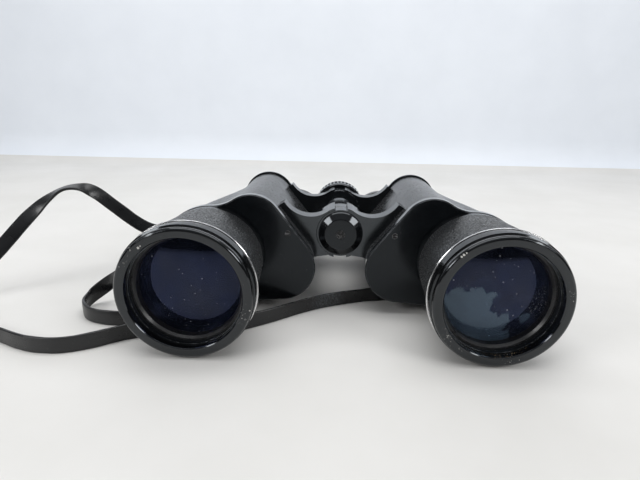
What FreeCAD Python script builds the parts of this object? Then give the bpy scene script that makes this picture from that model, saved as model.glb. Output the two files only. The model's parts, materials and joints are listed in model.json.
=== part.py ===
import FreeCAD, Part

# Porro-prism binoculars of the 10x50 class, lying on a table: two prism housings on a centre
# hinge, centre focusing, a dioptre ring on the right eyepiece and a thin neck strap.
#
# Millimetres. The origin is on the hinge axis, in the front face of the hinge cap.
# +X is towards the left-hand barrel, +Y towards the observer's eyes, +Z up.
# Every barrel piece is shaped for the left side (+X) and mirrored for the right side (-X).

import math
import os

V = FreeCAD.Vector
ALONG = V(0, 1, 0)
CENTRE = (0.0, 0.0)

# ---- driving dimensions: places in the X-Z plane -----------------------------------------
OBJECTIVE = (68.1, -10.3)
TOP_LOBE = (47.1, 7.0)
PRISM_TURN = (47.2, 5.2)
EYEPIECE = (31.9, -15.8)
OBJECTIVE_LOBE_R = 27.4
TOP_LOBE_R = 16.5
EYE_LOBE_R = 18.6
WAIST_R = 20.0

# ---- housing, measured inwards from the cover plate outline ------------------------------
CAST_INSET = 1.05
SKIN_INSET = 1.85
CAVITY_INSET = 4.05
HOUSING_FRONT = -9.3
HOUSING_BACK = 65.5
COVER_T = 1.6
COVER_FRONT = HOUSING_FRONT - COVER_T
SKIRT_END = -7.0
FLANGE = 2.1
SHOULDER_START = -6.9
SHOULDER_HEADING = math.radians(60)
SHOULDER_SLOPE = 0.147
SHELF_Y = 24.0
SHELF_T = 3.0

# ---- hinge -------------------------------------------------------------------------------
AXLE_R = 5.0
RUNNING_GAP = 0.05
LAYER_GAP = 0.2
KNUCKLE_R = 13.2
KNUCKLE_RELIEF_R = 13.4
HOOK_R = 14.4
HOOK_HALF_GAP = 3.5
FRONT_ARM = (3.3, 12.2)
FRONT_KNUCKLES = ((3.3, 11.3), (11.5, 19.5))
REAR_ARM = (58.0, 65.4)
REAR_KNUCKLES = ((63.1, 68.0), (58.0, 62.9))
VALLEY = (17.0, 9.1)
VALLEY_R = 16.5
ARM_TIP = (31.0, 16.9)
CAP_R = 12.2
CAP_FACE_R = 8.2
CAP_BACK = 3.1
CAP_SCREW_R = 1.5
POST_R = 7.8

# ---- focusing ----------------------------------------------------------------------------
SPINDLE_R = 3.2
WHEEL_R = 16.0
WHEEL_Y = (68.7, 80.0)
AXLE_END = 74.0
HUB_R = 6.0
HUB_Y = (85.5, 97.5)
RIGHT_RING_Y = (85.6, 91.4)
LEFT_RING_Y = (91.6, 97.4)
CARRIER_Y = (85.6, 95.0)

# ---- objective barrel --------------------------------------------------------------------
BEZEL_FRONT = -62.8
BEZEL_R = 30.1
TRIM_R = 31.1
TRIM_Y = (-54.0, -53.2)
TUBE_BACK = COVER_FRONT
TUBE_SPIGOT_R = 21.5
LENS_R = 24.9

# ---- eyepiece ----------------------------------------------------------------------------
SLEEVE_SPIGOT_R = 14.5
BARREL_R = 13.3
CELL_R = 12.0
BARREL_BACK = 100.2
EYECUP_Y = (102.0, 111.0)
EYECUP_R = 19.5

# ---- strap -------------------------------------------------------------------------------
TABLE_Z = OBJECTIVE[1] - TRIM_R
STRAP_LIFT = 0.02
STRAP_W = 8.0
STRAP_T = 1.8
LUG = (100.2, 46.0, -15.0)
LUG_FOOT = 7.0
LUG_REACH = 3.2
SLOT_W = 9.4
SLOT_GAP = 3.0


# ---- helpers -----------------------------------------------------------------------------
def at(place, y):
    """The 3-D point over a place in the X-Z plane."""
    return V(place[0], y, place[1])


def rod(place, radius, y0, y1):
    return Part.makeCylinder(radius, y1 - y0, at(place, y0), ALONG)


def pipe(place, outer, inner, y0, y1):
    return rod(place, outer, y0, y1).cut(rod(place, inner, y0 - 1, y1 + 1))


def plate(places, y0, y1):
    """A flat slab with straight edges."""
    corners = [at(place, y0) for place in places]
    return Part.Face(Part.makePolygon(corners + corners[:1])).extrude(V(0, y1 - y0, 0))


def box(x0, x1, y0, y1, z0, z1):
    return Part.makeBox(x1 - x0, y1 - y0, z1 - z0, V(x0, y0, z0))


def lathe(place, profile):
    """Turn a closed outline of (radius, y) points about the axis through a place."""
    points = [V(radius, y, 0) for radius, y in profile]
    solid = Part.Face(Part.makePolygon(points + points[:1])).revolve(V(0, 0, 0), ALONG, 360)
    solid.translate(at(place, 0))
    return solid


def fuse(shapes):
    """One clean solid from touching or overlapping ones."""
    joined = shapes[0].fuse(list(shapes[1:])).removeSplitter()
    return joined.Solids[0] if len(joined.Solids) == 1 else joined


def group(solids):
    return Part.makeCompound(list(solids))


def step_between(a, b):
    return math.hypot(b[0] - a[0], b[1] - a[1])


def unit_between(a, b):
    length = step_between(a, b)
    return ((b[0] - a[0]) / length, (b[1] - a[1]) / length)


def tangent_hull(a, radius_a, b, radius_b, y0, y1):
    """Two round posts and the slab between their outer tangents."""
    heading = math.atan2(b[1] - a[1], b[0] - a[0])
    spread = math.acos((radius_a - radius_b) / step_between(a, b))
    corners = []
    for centre, radius, side in (
        (a, radius_a, 1),
        (b, radius_b, 1),
        (b, radius_b, -1),
        (a, radius_a, -1),
    ):
        angle = heading + side * spread
        corner = (centre[0] + radius * math.cos(angle), centre[1] + radius * math.sin(angle))
        corners.append(corner)
    return [rod(a, radius_a, y0, y1), rod(b, radius_b, y0, y1), plate(corners, y0, y1)]


def shoulder_slope(inset):
    """What the outer shoulder loses as it slopes off towards the eyes beside the top lobe."""
    up = V(math.cos(SHOULDER_HEADING), 0, math.sin(SHOULDER_HEADING))
    aside = V(-up.z, 0, up.x)
    front_y = SHOULDER_START - 4
    back_y = HOUSING_BACK + 4
    half_width = 45
    cover = 10
    crest = OBJECTIVE_LOBE_R - inset * math.hypot(1, SHOULDER_SLOPE)

    def corner(y, height):
        return at(OBJECTIVE, y) + up * height - aside * half_width

    def fall(y):
        return crest - SHOULDER_SLOPE * (y - SHOULDER_START)

    corners = [
        corner(front_y, fall(front_y)),
        corner(back_y, fall(back_y)),
        corner(back_y, crest + cover),
        corner(front_y, crest + cover),
    ]
    face = Part.Face(Part.makePolygon(corners + corners[:1]))
    wedge = face.extrude(aside * (2 * half_width))
    return wedge.cut(rod(TOP_LOBE, TOP_LOBE_R - inset, front_y - 1, back_y + 1))


def housing_block(inset, y0, y1):
    """The three-lobed housing outline, drawn in by an inset, as a solid from y0 to y1."""
    top_r = TOP_LOBE_R - inset
    eye_r = EYE_LOBE_R - inset
    objective_r = OBJECTIVE_LOBE_R - inset
    waist_r = WAIST_R + inset
    # the hollow between the top and objective lobes is an arc that touches both
    span = step_between(TOP_LOBE, OBJECTIVE)
    reach_top = top_r + waist_r
    reach_objective = objective_r + waist_r
    along = (reach_top**2 - reach_objective**2 + span**2) / (2 * span)
    out = math.sqrt(reach_top**2 - along**2)
    ux, uz = unit_between(TOP_LOBE, OBJECTIVE)
    waist = (TOP_LOBE[0] + ux * along - uz * out, TOP_LOBE[1] + uz * along + ux * out)
    web = plate([TOP_LOBE, waist, OBJECTIVE], y0, y1).cut(rod(waist, waist_r, y0 - 1, y1 + 1))
    pieces = tangent_hull(TOP_LOBE, top_r, EYEPIECE, eye_r, y0, y1)
    pieces += tangent_hull(EYEPIECE, eye_r, OBJECTIVE, objective_r, y0, y1)
    pieces += [web, plate([TOP_LOBE, OBJECTIVE, EYEPIECE], y0, y1)]
    block = fuse(pieces)
    if y1 > SHOULDER_START:
        block = block.cut(shoulder_slope(inset))
    return block


# ---- housing and its covers --------------------------------------------------------------
COVER_SCREW = (27.9, 3.4)
REAR_SCREWS = ((46.5, 19.6), (90.2, -10.3))
SCREW_R = 0.8
SCREW_HEAD_R = 1.5
BOSS_R = 2.2
BOSS_DEPTH = 5.5


def hinge_arm(arm_y, own_y, other_y, bore_r):
    """One arm of a hinge bridge with its knuckle, relieved around the other half's knuckle."""
    knuckle_y0 = min(own_y[0], other_y[0])
    knuckle_y1 = max(own_y[1], other_y[1])
    valley = (VALLEY[0], VALLEY[1] + VALLEY_R)
    hub_edge = 6.8
    arm = plate(
        [
            (hub_edge, ARM_TIP[1]),
            ARM_TIP,
            (35.2, 14.3),
            (44.0, 0.0),
            (36.0, -14.0),
            (24.0, -17.0),
            (17.0, -15.6),
            (12.6, -13.8),
            (hub_edge, -12.9),
        ],
        *arm_y,
    )
    hub = rod(CENTRE, HOOK_R, knuckle_y0, knuckle_y1)
    hub = hub.cut(box(-HOOK_R, 0, knuckle_y0, knuckle_y1, -HOOK_R, HOOK_R))
    arm = arm.cut(rod(valley, VALLEY_R, arm_y[0] - 1, arm_y[1] + 1))
    hub = hub.cut(rod(valley, VALLEY_R, knuckle_y0 - 1, knuckle_y1 + 1))
    shape = fuse([arm, hub])
    # the hooks stop short of the middle, which leaves the halves room to fold
    shape = shape.cut(box(-1, HOOK_HALF_GAP, knuckle_y0 - 1, knuckle_y1 + 1, -HOOK_R, HOOK_R))
    shape = shape.cut(rod(CENTRE, KNUCKLE_RELIEF_R, other_y[0] - LAYER_GAP, other_y[1] + LAYER_GAP))
    shape = fuse([shape, rod(CENTRE, KNUCKLE_R, *own_y)])
    return shape.cut(rod(CENTRE, bore_r, knuckle_y0 - 1, knuckle_y1 + 1))


def prism_housing(own, other, bore_r):
    """The die-cast housing with its hinge arms; own and other pick the knuckle layers."""
    outside = [
        housing_block(SKIN_INSET, HOUSING_FRONT, HOUSING_BACK),
        housing_block(CAST_INSET, HOUSING_FRONT, HOUSING_FRONT + FLANGE),
        housing_block(CAST_INSET, HOUSING_BACK - FLANGE, HOUSING_BACK),
        hinge_arm(FRONT_ARM, FRONT_KNUCKLES[own], FRONT_KNUCKLES[other], bore_r),
        hinge_arm(REAR_ARM, REAR_KNUCKLES[own], REAR_KNUCKLES[other], bore_r),
    ]
    casting = fuse(outside).cut(housing_block(CAVITY_INSET, HOUSING_FRONT - 1, HOUSING_BACK + 1))
    bosses = [rod(COVER_SCREW, BOSS_R, HOUSING_FRONT, HOUSING_FRONT + BOSS_DEPTH)]
    bosses += [rod(place, BOSS_R, HOUSING_BACK - BOSS_DEPTH, HOUSING_BACK) for place in REAR_SCREWS]
    casting = fuse([casting] + bosses)
    return casting.cut(group(screw_shanks()))


def screw_shanks():
    depth = 4.5
    shanks = [rod(COVER_SCREW, SCREW_R, COVER_FRONT, HOUSING_FRONT + depth)]
    shanks += [rod(place, SCREW_R, HOUSING_BACK - depth, HOUSING_BACK + COVER_T) for place in REAR_SCREWS]
    return shanks


def cover_screws():
    """Slotted cheese-head screws: one in the front cover, two in the rear cover."""
    head_t = 0.5
    slot_w = 0.5
    front_face = COVER_FRONT
    back_face = HOUSING_BACK + COVER_T
    screws = []
    for index, (place, shank) in enumerate(zip((COVER_SCREW,) + REAR_SCREWS, screw_shanks())):
        inner = front_face - head_t if index == 0 else back_face
        head = rod(place, SCREW_HEAD_R, inner, inner + head_t)
        slot_y = inner if index == 0 else inner + head_t / 2
        slot = box(
            place[0] - SCREW_HEAD_R,
            place[0] + SCREW_HEAD_R,
            slot_y,
            slot_y + head_t / 2,
            place[1] - slot_w / 2,
            place[1] + slot_w / 2,
        )
        screws.append(fuse([head, shank]).cut(slot))
    return group(screws)


def beside_lug(inner, outer, half_y, half_z):
    """A block about the lug's middle, from inner to outer millimetres inboard of it."""
    x, y, z = LUG
    return box(x - inner, x - outer, y - half_y, y + half_y, z - half_z, z + half_z)


def housing_covering(casting):
    """Leatherette wrapped round the casting between its flanges, cut away for the arms and lug."""
    y0 = HOUSING_FRONT + FLANGE + 0.1
    y1 = HOUSING_BACK - FLANGE - 0.1
    wrap = housing_block(CAST_INSET, y0, y1).cut(housing_block(SKIN_INSET, y0 - 1, y1 + 1))
    cut = wrap.cut(casting).cut(beside_lug(LUG_ROOT, -2.0, LUG_FOOT, LUG_REACH))
    return max(cut.Solids, key=lambda solid: solid.Volume)


def edge_break(solid, face_y, size):
    """Chamfer the outer rim of a plate's face at face_y."""
    faces = [f for f in solid.Faces if abs(f.CenterOfMass.y - face_y) < 1e-6]
    face = max(faces, key=lambda f: f.Area)
    return solid.makeChamfer(size, face.OuterWire.Edges)


def front_cover():
    cover = housing_block(0, COVER_FRONT, SKIRT_END)
    cover = edge_break(cover, COVER_FRONT, 0.5)
    cover = cover.cut(housing_block(CAST_INSET, HOUSING_FRONT, SKIRT_END + 1))
    cover = cover.cut(rod(OBJECTIVE, TUBE_SPIGOT_R, COVER_FRONT - 1, HOUSING_FRONT + 1))
    return cover.cut(rod(COVER_SCREW, SCREW_R, COVER_FRONT - 1, HOUSING_FRONT + 1))


def rear_cover():
    back = HOUSING_BACK + COVER_T
    cover = edge_break(housing_block(0, HOUSING_BACK, back), back, 0.5)
    cover = cover.cut(rod(EYEPIECE, SLEEVE_SPIGOT_R, HOUSING_BACK - 1, back + 1))
    for place in REAR_SCREWS:
        cover = cover.cut(rod(place, SCREW_R, HOUSING_BACK - 1, back + 1))
    # the hub of the hinge stands beside the plate
    return cover.cut(rod(CENTRE, HOOK_R + 0.3, HOUSING_BACK - 1, back + 1))


# ---- prisms ------------------------------------------------------------------------------
PRISM_R = 12.0
PRISM_RIDGE = 1.0
CLIP_W = 6.0
CLIP_T = 0.7


def prism_frame(a, b):
    """Middle of a prism, its direction in the X-Z plane and its half length."""
    middle = ((a[0] + b[0]) / 2, (a[1] + b[1]) / 2)
    return middle, unit_between(a, b), step_between(a, b)


def across(middle, heading, offset_along, offset_across):
    ux, uz = heading
    return (
        middle[0] + ux * offset_along - uz * offset_across,
        middle[1] + uz * offset_along + ux * offset_across,
    )


def porro_prism(a, b, seat_y, side):
    """A right-angle prism whose broad face lies on the shelf over holes a and b."""
    middle, heading, half = prism_frame(a, b)
    flat = half - PRISM_RIDGE
    outline = [(-half, 0), (half, 0), (PRISM_RIDGE, flat), (-PRISM_RIDGE, flat)]
    points = []
    for run, height in outline:
        place = across(middle, heading, run, -PRISM_R)
        points.append(at(place, seat_y + side * height))
    wedge = Part.Face(Part.makePolygon(points + points[:1]))
    wedge = wedge.extrude(V(-heading[1] * 2 * PRISM_R, 0, heading[0] * 2 * PRISM_R))
    y0, y1 = sorted((seat_y, seat_y + side * half))
    return wedge.common(fuse(tangent_hull(a, PRISM_R, b, PRISM_R - 0.001, y0, y1)))


def prism_clip(a, b, seat_y, side):
    """A spring strap over the prism's ridge, with its feet on the shelf."""
    middle, heading, half = prism_frame(a, b)
    top = half - PRISM_RIDGE
    outer = PRISM_R + CLIP_T
    y_seat, y_top = sorted((seat_y, seat_y + side * (top + CLIP_T)))
    y_in0, y_in1 = sorted((seat_y, seat_y + side * top))

    def block(half_across, y0, y1):
        corners = [
            across(middle, heading, -CLIP_W / 2, -half_across),
            across(middle, heading, CLIP_W / 2, -half_across),
            across(middle, heading, CLIP_W / 2, half_across),
            across(middle, heading, -CLIP_W / 2, half_across),
        ]
        return plate(corners, y0, y1)

    return block(outer, y_seat, y_top).cut(block(PRISM_R, y_in0, y_in1))


def prism_plate():
    light_r = 10.5
    shelf = housing_block(CAVITY_INSET, SHELF_Y, SHELF_Y + SHELF_T)
    for place in (OBJECTIVE, PRISM_TURN, EYEPIECE):
        shelf = shelf.cut(rod(place, light_r, SHELF_Y - 1, SHELF_Y + SHELF_T + 1))
    return shelf


def front_prism():
    return porro_prism(PRISM_TURN, EYEPIECE, SHELF_Y, -1)


def rear_prism():
    return porro_prism(PRISM_TURN, OBJECTIVE, SHELF_Y + SHELF_T, 1)


def prism_clips():
    clips = [prism_clip(PRISM_TURN, EYEPIECE, SHELF_Y, -1)]
    clips.append(prism_clip(PRISM_TURN, OBJECTIVE, SHELF_Y + SHELF_T, 1))
    return group(clips)


# ---- objective barrel --------------------------------------------------------------------
TUBE_BORE_R = 20.0
TUBE_FRONT_R = 29.0
TUBE_REAR_R = 26.4
COLLAR_R = 27.1
COLLAR_FRONT = -15.0
SKIN_T = 0.9
NOSE_R = 26.5
NOSE_FRONT = -59.0
LENS_STOP_R = 23.3
LENS_STOP_Y = -43.0


def objective_tube():
    """Conical tube with a lens seat in front, a collar and a spigot behind."""
    tube_front = TRIM_Y[1]
    spigot_back = HOUSING_FRONT + 5
    return lathe(
        OBJECTIVE,
        [
            (LENS_R + 0.05, NOSE_FRONT),
            (NOSE_R, NOSE_FRONT),
            (NOSE_R, tube_front),
            (TUBE_FRONT_R + SKIN_T, tube_front),
            (TUBE_FRONT_R + SKIN_T, tube_front + 1.0),
            (TUBE_FRONT_R, tube_front + 1.0),
            (TUBE_REAR_R, COLLAR_FRONT),
            (COLLAR_R, COLLAR_FRONT),
            (COLLAR_R, TUBE_BACK),
            (TUBE_SPIGOT_R, TUBE_BACK),
            (TUBE_SPIGOT_R, spigot_back),
            (TUBE_BORE_R, spigot_back),
            (LENS_STOP_R, LENS_STOP_Y),
            (LENS_R + 0.05, LENS_STOP_Y),
        ],
    )


def tube_covering():
    front = TRIM_Y[1] + 1.0
    return lathe(
        OBJECTIVE,
        [
            (TUBE_FRONT_R, front),
            (TUBE_FRONT_R + SKIN_T, front),
            (TUBE_REAR_R + SKIN_T, COLLAR_FRONT),
            (TUBE_REAR_R, COLLAR_FRONT),
        ],
    )


def trim_ring():
    y0, y1 = TRIM_Y
    bevel = 0.2
    return lathe(
        OBJECTIVE,
        [
            (NOSE_R, y0),
            (TRIM_R - bevel, y0),
            (TRIM_R, y0 + bevel),
            (TRIM_R, y1 - bevel),
            (TRIM_R - bevel, y1),
            (NOSE_R, y1),
        ],
    )


def bezel():
    """Rounded front rim, a fine groove, and a straight side back to the trim ring."""
    lip_r = 25.4
    lip_depth = 3.6
    side_r = 30.7
    round_r = 1.5
    arc = [
        (BEZEL_R - round_r + round_r * math.sin(a), BEZEL_FRONT + round_r - round_r * math.cos(a))
        for a in (math.radians(step) for step in range(0, 91, 15))
    ]
    inner_round = 0.9
    inner_arc = [
        (
            lip_r + inner_round - inner_round * math.cos(a),
            BEZEL_FRONT + inner_round - inner_round * math.sin(a),
        )
        for a in (math.radians(step) for step in range(0, 91, 30))
    ]
    groove_y = BEZEL_FRONT + 2.6
    profile = inner_arc + arc
    profile += [
        (BEZEL_R, groove_y),
        (BEZEL_R - 0.25, groove_y + 0.2),
        (BEZEL_R - 0.25, groove_y + 0.6),
        (side_r, groove_y + 1.0),
        (side_r, TRIM_Y[0]),
        (NOSE_R, TRIM_Y[0]),
        (NOSE_R, NOSE_FRONT),
        (lip_r, BEZEL_FRONT + lip_depth),
    ]
    return lathe(OBJECTIVE, profile)


CROWN_FRONT_Y = -53.6
CROWN_BACK_Y = -45.6
FLINT_BACK_Y = -43.2
CROWN_CURVE = 115.0
CEMENT_CURVE = 82.0


def sag(radius, curve):
    return curve - math.sqrt(curve**2 - radius**2)


def lens(place, radius, front_y, front_curve, back_y, back_curve):
    """A turned lens; a positive curve bends its edge towards the eye, and 0 is flat."""

    def surface(vertex_y, curve, reverse):
        def height(r):
            return vertex_y + (math.copysign(sag(r, abs(curve)), curve) if curve else 0.0)

        ends = [V(0, vertex_y, 0), V(radius / 2, height(radius / 2), 0), V(radius, height(radius), 0)]
        if reverse:
            ends.reverse()
        if not curve:
            return Part.makeLine(ends[0], ends[2]), ends
        return Part.Arc(*ends).toShape(), ends

    front, front_ends = surface(front_y, front_curve, False)
    back, back_ends = surface(back_y, back_curve, True)
    edge = Part.makeLine(front_ends[2], back_ends[0])
    axis = Part.makeLine(back_ends[2], front_ends[0])
    solid = Part.Face(Part.Wire([front, edge, back, axis])).revolve(V(0, 0, 0), ALONG, 360)
    solid.translate(at(place, 0))
    return solid


def objective_crown():
    return lens(OBJECTIVE, LENS_R, CROWN_FRONT_Y, CROWN_CURVE, CROWN_BACK_Y, -CEMENT_CURVE)


def objective_flint():
    return lens(OBJECTIVE, LENS_R, CROWN_BACK_Y, -CEMENT_CURVE, FLINT_BACK_Y, 0)


def retaining_ring():
    back = CROWN_FRONT_Y + sag(LENS_STOP_R, CROWN_CURVE)
    front = back - 4.6
    return lathe(
        OBJECTIVE,
        [
            (LENS_STOP_R + 0.9, front),
            (LENS_R, front),
            (LENS_R, back),
            (LENS_STOP_R, back),
            (LENS_STOP_R, front + 1.2),
        ],
    )


# ---- eyepiece ----------------------------------------------------------------------------
SLEEVE_FRONT = 59.0
SLEEVE_R = 16.4
SLEEVE_BACK = 80.0
BARREL_FRONT = 59.5
CELL_FRONT = 60.5
FIELD_LENS_R = 10.9
FIELD_LENS_Y = (62.0, 67.0)
EYE_LENS_Y = (97.0, 103.0)
CELL_BACK = 106.0


def guide_sleeve():
    plate_back = HOUSING_BACK + COVER_T
    bore = BARREL_R + RUNNING_GAP
    return lathe(
        EYEPIECE,
        [
            (bore, SLEEVE_FRONT),
            (SLEEVE_SPIGOT_R, SLEEVE_FRONT),
            (SLEEVE_SPIGOT_R, plate_back),
            (SLEEVE_R + 0.9, plate_back),
            (SLEEVE_R + 0.9, plate_back + 1.6),
            (SLEEVE_R, plate_back + 2.2),
            (SLEEVE_R, SLEEVE_BACK - 0.6),
            (SLEEVE_R - 0.6, SLEEVE_BACK),
            (bore, SLEEVE_BACK),
        ],
    )


def ocular_barrel(cell_gap):
    return pipe(EYEPIECE, BARREL_R, CELL_R + cell_gap, BARREL_FRONT, BARREL_BACK)


def ocular_cell():
    """Lens cell: a long tube with a seat at each end."""
    bore = FIELD_LENS_R
    return lathe(
        EYEPIECE,
        [
            (bore, CELL_FRONT),
            (CELL_R, CELL_FRONT),
            (CELL_R, CELL_BACK),
            (9.0, CELL_BACK),
            (9.0, EYE_LENS_Y[1]),
            (10.0, EYE_LENS_Y[1]),
            (10.0, EYE_LENS_Y[0]),
            (9.2, EYE_LENS_Y[0]),
            (9.2, EYE_LENS_Y[0] - 1.5),
            (bore, EYE_LENS_Y[0] - 4.0),
        ],
    )


def field_lens():
    return lens(EYEPIECE, FIELD_LENS_R, FIELD_LENS_Y[0], 60.0, FIELD_LENS_Y[1], -60.0)


def eye_lens():
    return lens(EYEPIECE, 10.0, EYE_LENS_Y[0], 45.0, EYE_LENS_Y[1] - 0.9, 0)


def eyecup():
    y0, y1 = EYECUP_Y
    return lathe(
        EYEPIECE,
        [
            (CELL_R, y0),
            (15.2, y0),
            (15.6, y0 + 0.4),
            (15.8, y0 + 1.4),
            (EYECUP_R - 0.6, y0 + 3.2),
            (EYECUP_R, y0 + 4.0),
            (EYECUP_R, y1 - 1.0),
            (EYECUP_R - 0.3, y1 - 0.3),
            (EYECUP_R - 1.0, y1),
            (EYECUP_R - 2.0, y1 - 0.3),
            (10.0, CELL_BACK + 0.6),
            (9.0, CELL_BACK + 0.4),
            (9.0, CELL_BACK),
            (CELL_R, CELL_BACK),
        ],
    )


RING_Y = (95.2, 100.0)
RING_R = 18.3


def eyepiece_ring(bore_r, flutes):
    """Turned ring round the barrel, with a fluted rim when it is meant to be gripped."""
    y0, y1 = RING_Y
    ring = lathe(
        EYEPIECE,
        [
            (bore_r, y0),
            (RING_R - 0.4, y0),
            (RING_R, y0 + 0.4),
            (RING_R, y1 - 0.6),
            (RING_R - 0.6, y1),
            (bore_r, y1),
        ],
    )
    for index in range(flutes):
        angle = 2 * math.pi * index / flutes
        place = (
            EYEPIECE[0] + (RING_R + 0.35) * math.cos(angle),
            EYEPIECE[1] + (RING_R + 0.35) * math.sin(angle),
        )
        ring = ring.cut(rod(place, 0.75, y0 + 1.0, y1 + 1.0))
    return ring


def ocular_arm(ring_y, bore_r):
    """Focusing bridge arm: a ring round the hub, a bar and the carrier that grips the barrel."""
    ring_r = 10.0
    carrier_r = 17.4
    bar_half = 6.0
    heading = unit_between(CENTRE, EYEPIECE)
    length = step_between(CENTRE, EYEPIECE)
    corners = [
        across(CENTRE, heading, 0, -bar_half),
        across(CENTRE, heading, length, -bar_half - 2),
        across(CENTRE, heading, length, bar_half + 2),
        across(CENTRE, heading, 0, bar_half),
    ]
    shape = fuse(
        [
            rod(CENTRE, ring_r, *ring_y),
            plate(corners, ring_y[0], ring_y[1]),
            rod(EYEPIECE, carrier_r, min(CARRIER_Y[0], ring_y[0]), CARRIER_Y[1]),
        ]
    )
    shape = shape.cut(rod(EYEPIECE, RING_R + 0.4, CARRIER_Y[1], HUB_Y[1] + 1))
    shape = shape.cut(rod(EYEPIECE, BARREL_R, CARRIER_Y[0] - 1, HUB_Y[1] + 1))
    return shape.cut(rod(CENTRE, bore_r, HUB_Y[0] - 1, HUB_Y[1] + 1))


# ---- strap lugs --------------------------------------------------------------------------
LUG_FOOT_DEPTH = 7.8
LUG_ROOT = 12.0
LUG_HALF_T = 1.5


def strap_lug():
    """A flat loop screwed to the housing's side; the strap runs up through its slot."""
    outer_wall = 1.6
    outer_edge = SLOT_GAP / 2 + outer_wall
    corner_r = 2.0
    body = beside_lug(LUG_ROOT, -outer_edge, LUG_FOOT, LUG_HALF_T)
    foot = beside_lug(LUG_ROOT, LUG_ROOT - LUG_FOOT_DEPTH, LUG_FOOT, LUG_REACH)
    loop = fuse([body, foot])
    upright = [edge for edge in loop.Edges if edge.BoundBox.XMin > LUG[0] + SLOT_GAP / 2]
    upright = [edge for edge in upright if edge.BoundBox.ZLength > LUG_HALF_T]
    loop = loop.makeFillet(corner_r, upright)
    loop = loop.cut(beside_lug(SLOT_GAP / 2, -SLOT_GAP / 2, SLOT_W / 2, LUG_REACH))
    inside = housing_block(SKIN_INSET, LUG[1] - 20, LUG[1] + 20)
    return loop.cut(inside)


# ---- hinge and focusing pieces -----------------------------------------------------------
def hinge_axle():
    """Hollow axle, fixed in the right half's knuckles; the focusing spindle slides in it."""
    axle = rod(CENTRE, AXLE_R, CAP_BACK + 0.2, AXLE_END)
    axle = axle.cut(rod(CENTRE, SPINDLE_R + RUNNING_GAP, 18.0, AXLE_END + 1))
    return axle.cut(rod(CENTRE, CAP_SCREW_R, 0, 12.0))


def hinge_post():
    """Textured spacer tube round the axle, between the two hinge bridges."""
    front = FRONT_KNUCKLES[1][1]
    back = REAR_KNUCKLES[1][0]
    return lathe(
        CENTRE,
        [
            (AXLE_R, front),
            (POST_R + 1.4, front),
            (POST_R + 1.4, front + 3.0),
            (POST_R, front + 4.2),
            (POST_R, back - 3.0),
            (POST_R + 1.0, back - 2.0),
            (POST_R + 1.0, back),
            (AXLE_R, back),
        ],
    )


CAP_SCREW_HEAD_R = 2.4
CAP_SCREW_SEAT = 1.5


def hinge_cap():
    return lathe(
        CENTRE,
        [
            (CAP_SCREW_R, CAP_SCREW_SEAT),
            (CAP_SCREW_HEAD_R + 0.15, CAP_SCREW_SEAT),
            (CAP_SCREW_HEAD_R + 0.15, 0.0),
            (CAP_FACE_R, 0.0),
            (CAP_FACE_R + 0.5, 0.1),
            (CAP_R - 0.5, 1.9),
            (CAP_R, 2.4),
            (CAP_R, CAP_BACK),
            (CAP_SCREW_R, CAP_BACK),
        ],
    )


def hinge_cap_screw():
    head = rod(CENTRE, CAP_SCREW_HEAD_R, 0.3, CAP_SCREW_SEAT)
    shank = rod(CENTRE, CAP_SCREW_R, CAP_SCREW_SEAT, 11.0)
    arm = CAP_SCREW_HEAD_R - 0.7
    half = 0.3
    slots = [box(-arm, arm, 0, 0.9, -half, half), box(-half, half, 0, 0.9, -arm, arm)]
    return fuse([head, shank]).cut(group(slots))


def thrust_washers():
    washers = []
    for own, other in (FRONT_KNUCKLES, (REAR_KNUCKLES[1], REAR_KNUCKLES[0])):
        washers.append(pipe(CENTRE, KNUCKLE_R - 0.7, AXLE_R, own[1] + 0.02, other[0] - 0.02))
    return group(washers)


def focus_wheel():
    """Knurled wheel: it turns on the axle's end and its nut drives the spindle."""
    y0, y1 = WHEEL_Y
    axle_bore = AXLE_R + RUNNING_GAP
    nut_bore = SPINDLE_R + RUNNING_GAP
    wheel = lathe(
        CENTRE,
        [
            (axle_bore, y0),
            (11.5, y0),
            (12.2, y0 + 0.9),
            (WHEEL_R - 0.9, y0 + 0.9),
            (WHEEL_R, y0 + 1.8),
            (WHEEL_R, y1 - 1.6),
            (WHEEL_R - 1.1, y1 - 0.4),
            (11.0, y1 - 0.4),
            (10.2, y1),
            (nut_bore, y1),
            (nut_bore, AXLE_END + 0.2),
            (axle_bore, AXLE_END + 0.2),
        ],
    )
    flutes = 40
    cutters = []
    for index in range(flutes):
        angle = 2 * math.pi * index / flutes
        place = ((WHEEL_R + 0.35) * math.cos(angle), (WHEEL_R + 0.35) * math.sin(angle))
        cutters.append(rod(place, 0.85, y0 + 2.6, y1 - 2.2))
    return wheel.cut(group(cutters))


SPINDLE_FRONT = 26.0
SPINDLE_FLANGE_R = 8.0
BRIDGE_SCREW_R = 1.5
BRIDGE_HEAD_R = 9.0
BRIDGE_HEAD_T = 2.0


def focus_spindle():
    """Sliding spindle with the hub that carries the two ocular arms."""
    spindle = fuse(
        [
            rod(CENTRE, SPINDLE_R, SPINDLE_FRONT, HUB_Y[1]),
            rod(CENTRE, SPINDLE_FLANGE_R, HUB_Y[0] - 1.0, HUB_Y[0]),
            rod(CENTRE, HUB_R, HUB_Y[0], HUB_Y[1]),
        ]
    )
    return spindle.cut(rod(CENTRE, BRIDGE_SCREW_R, HUB_Y[1] - 6, HUB_Y[1] + 1))


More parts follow.
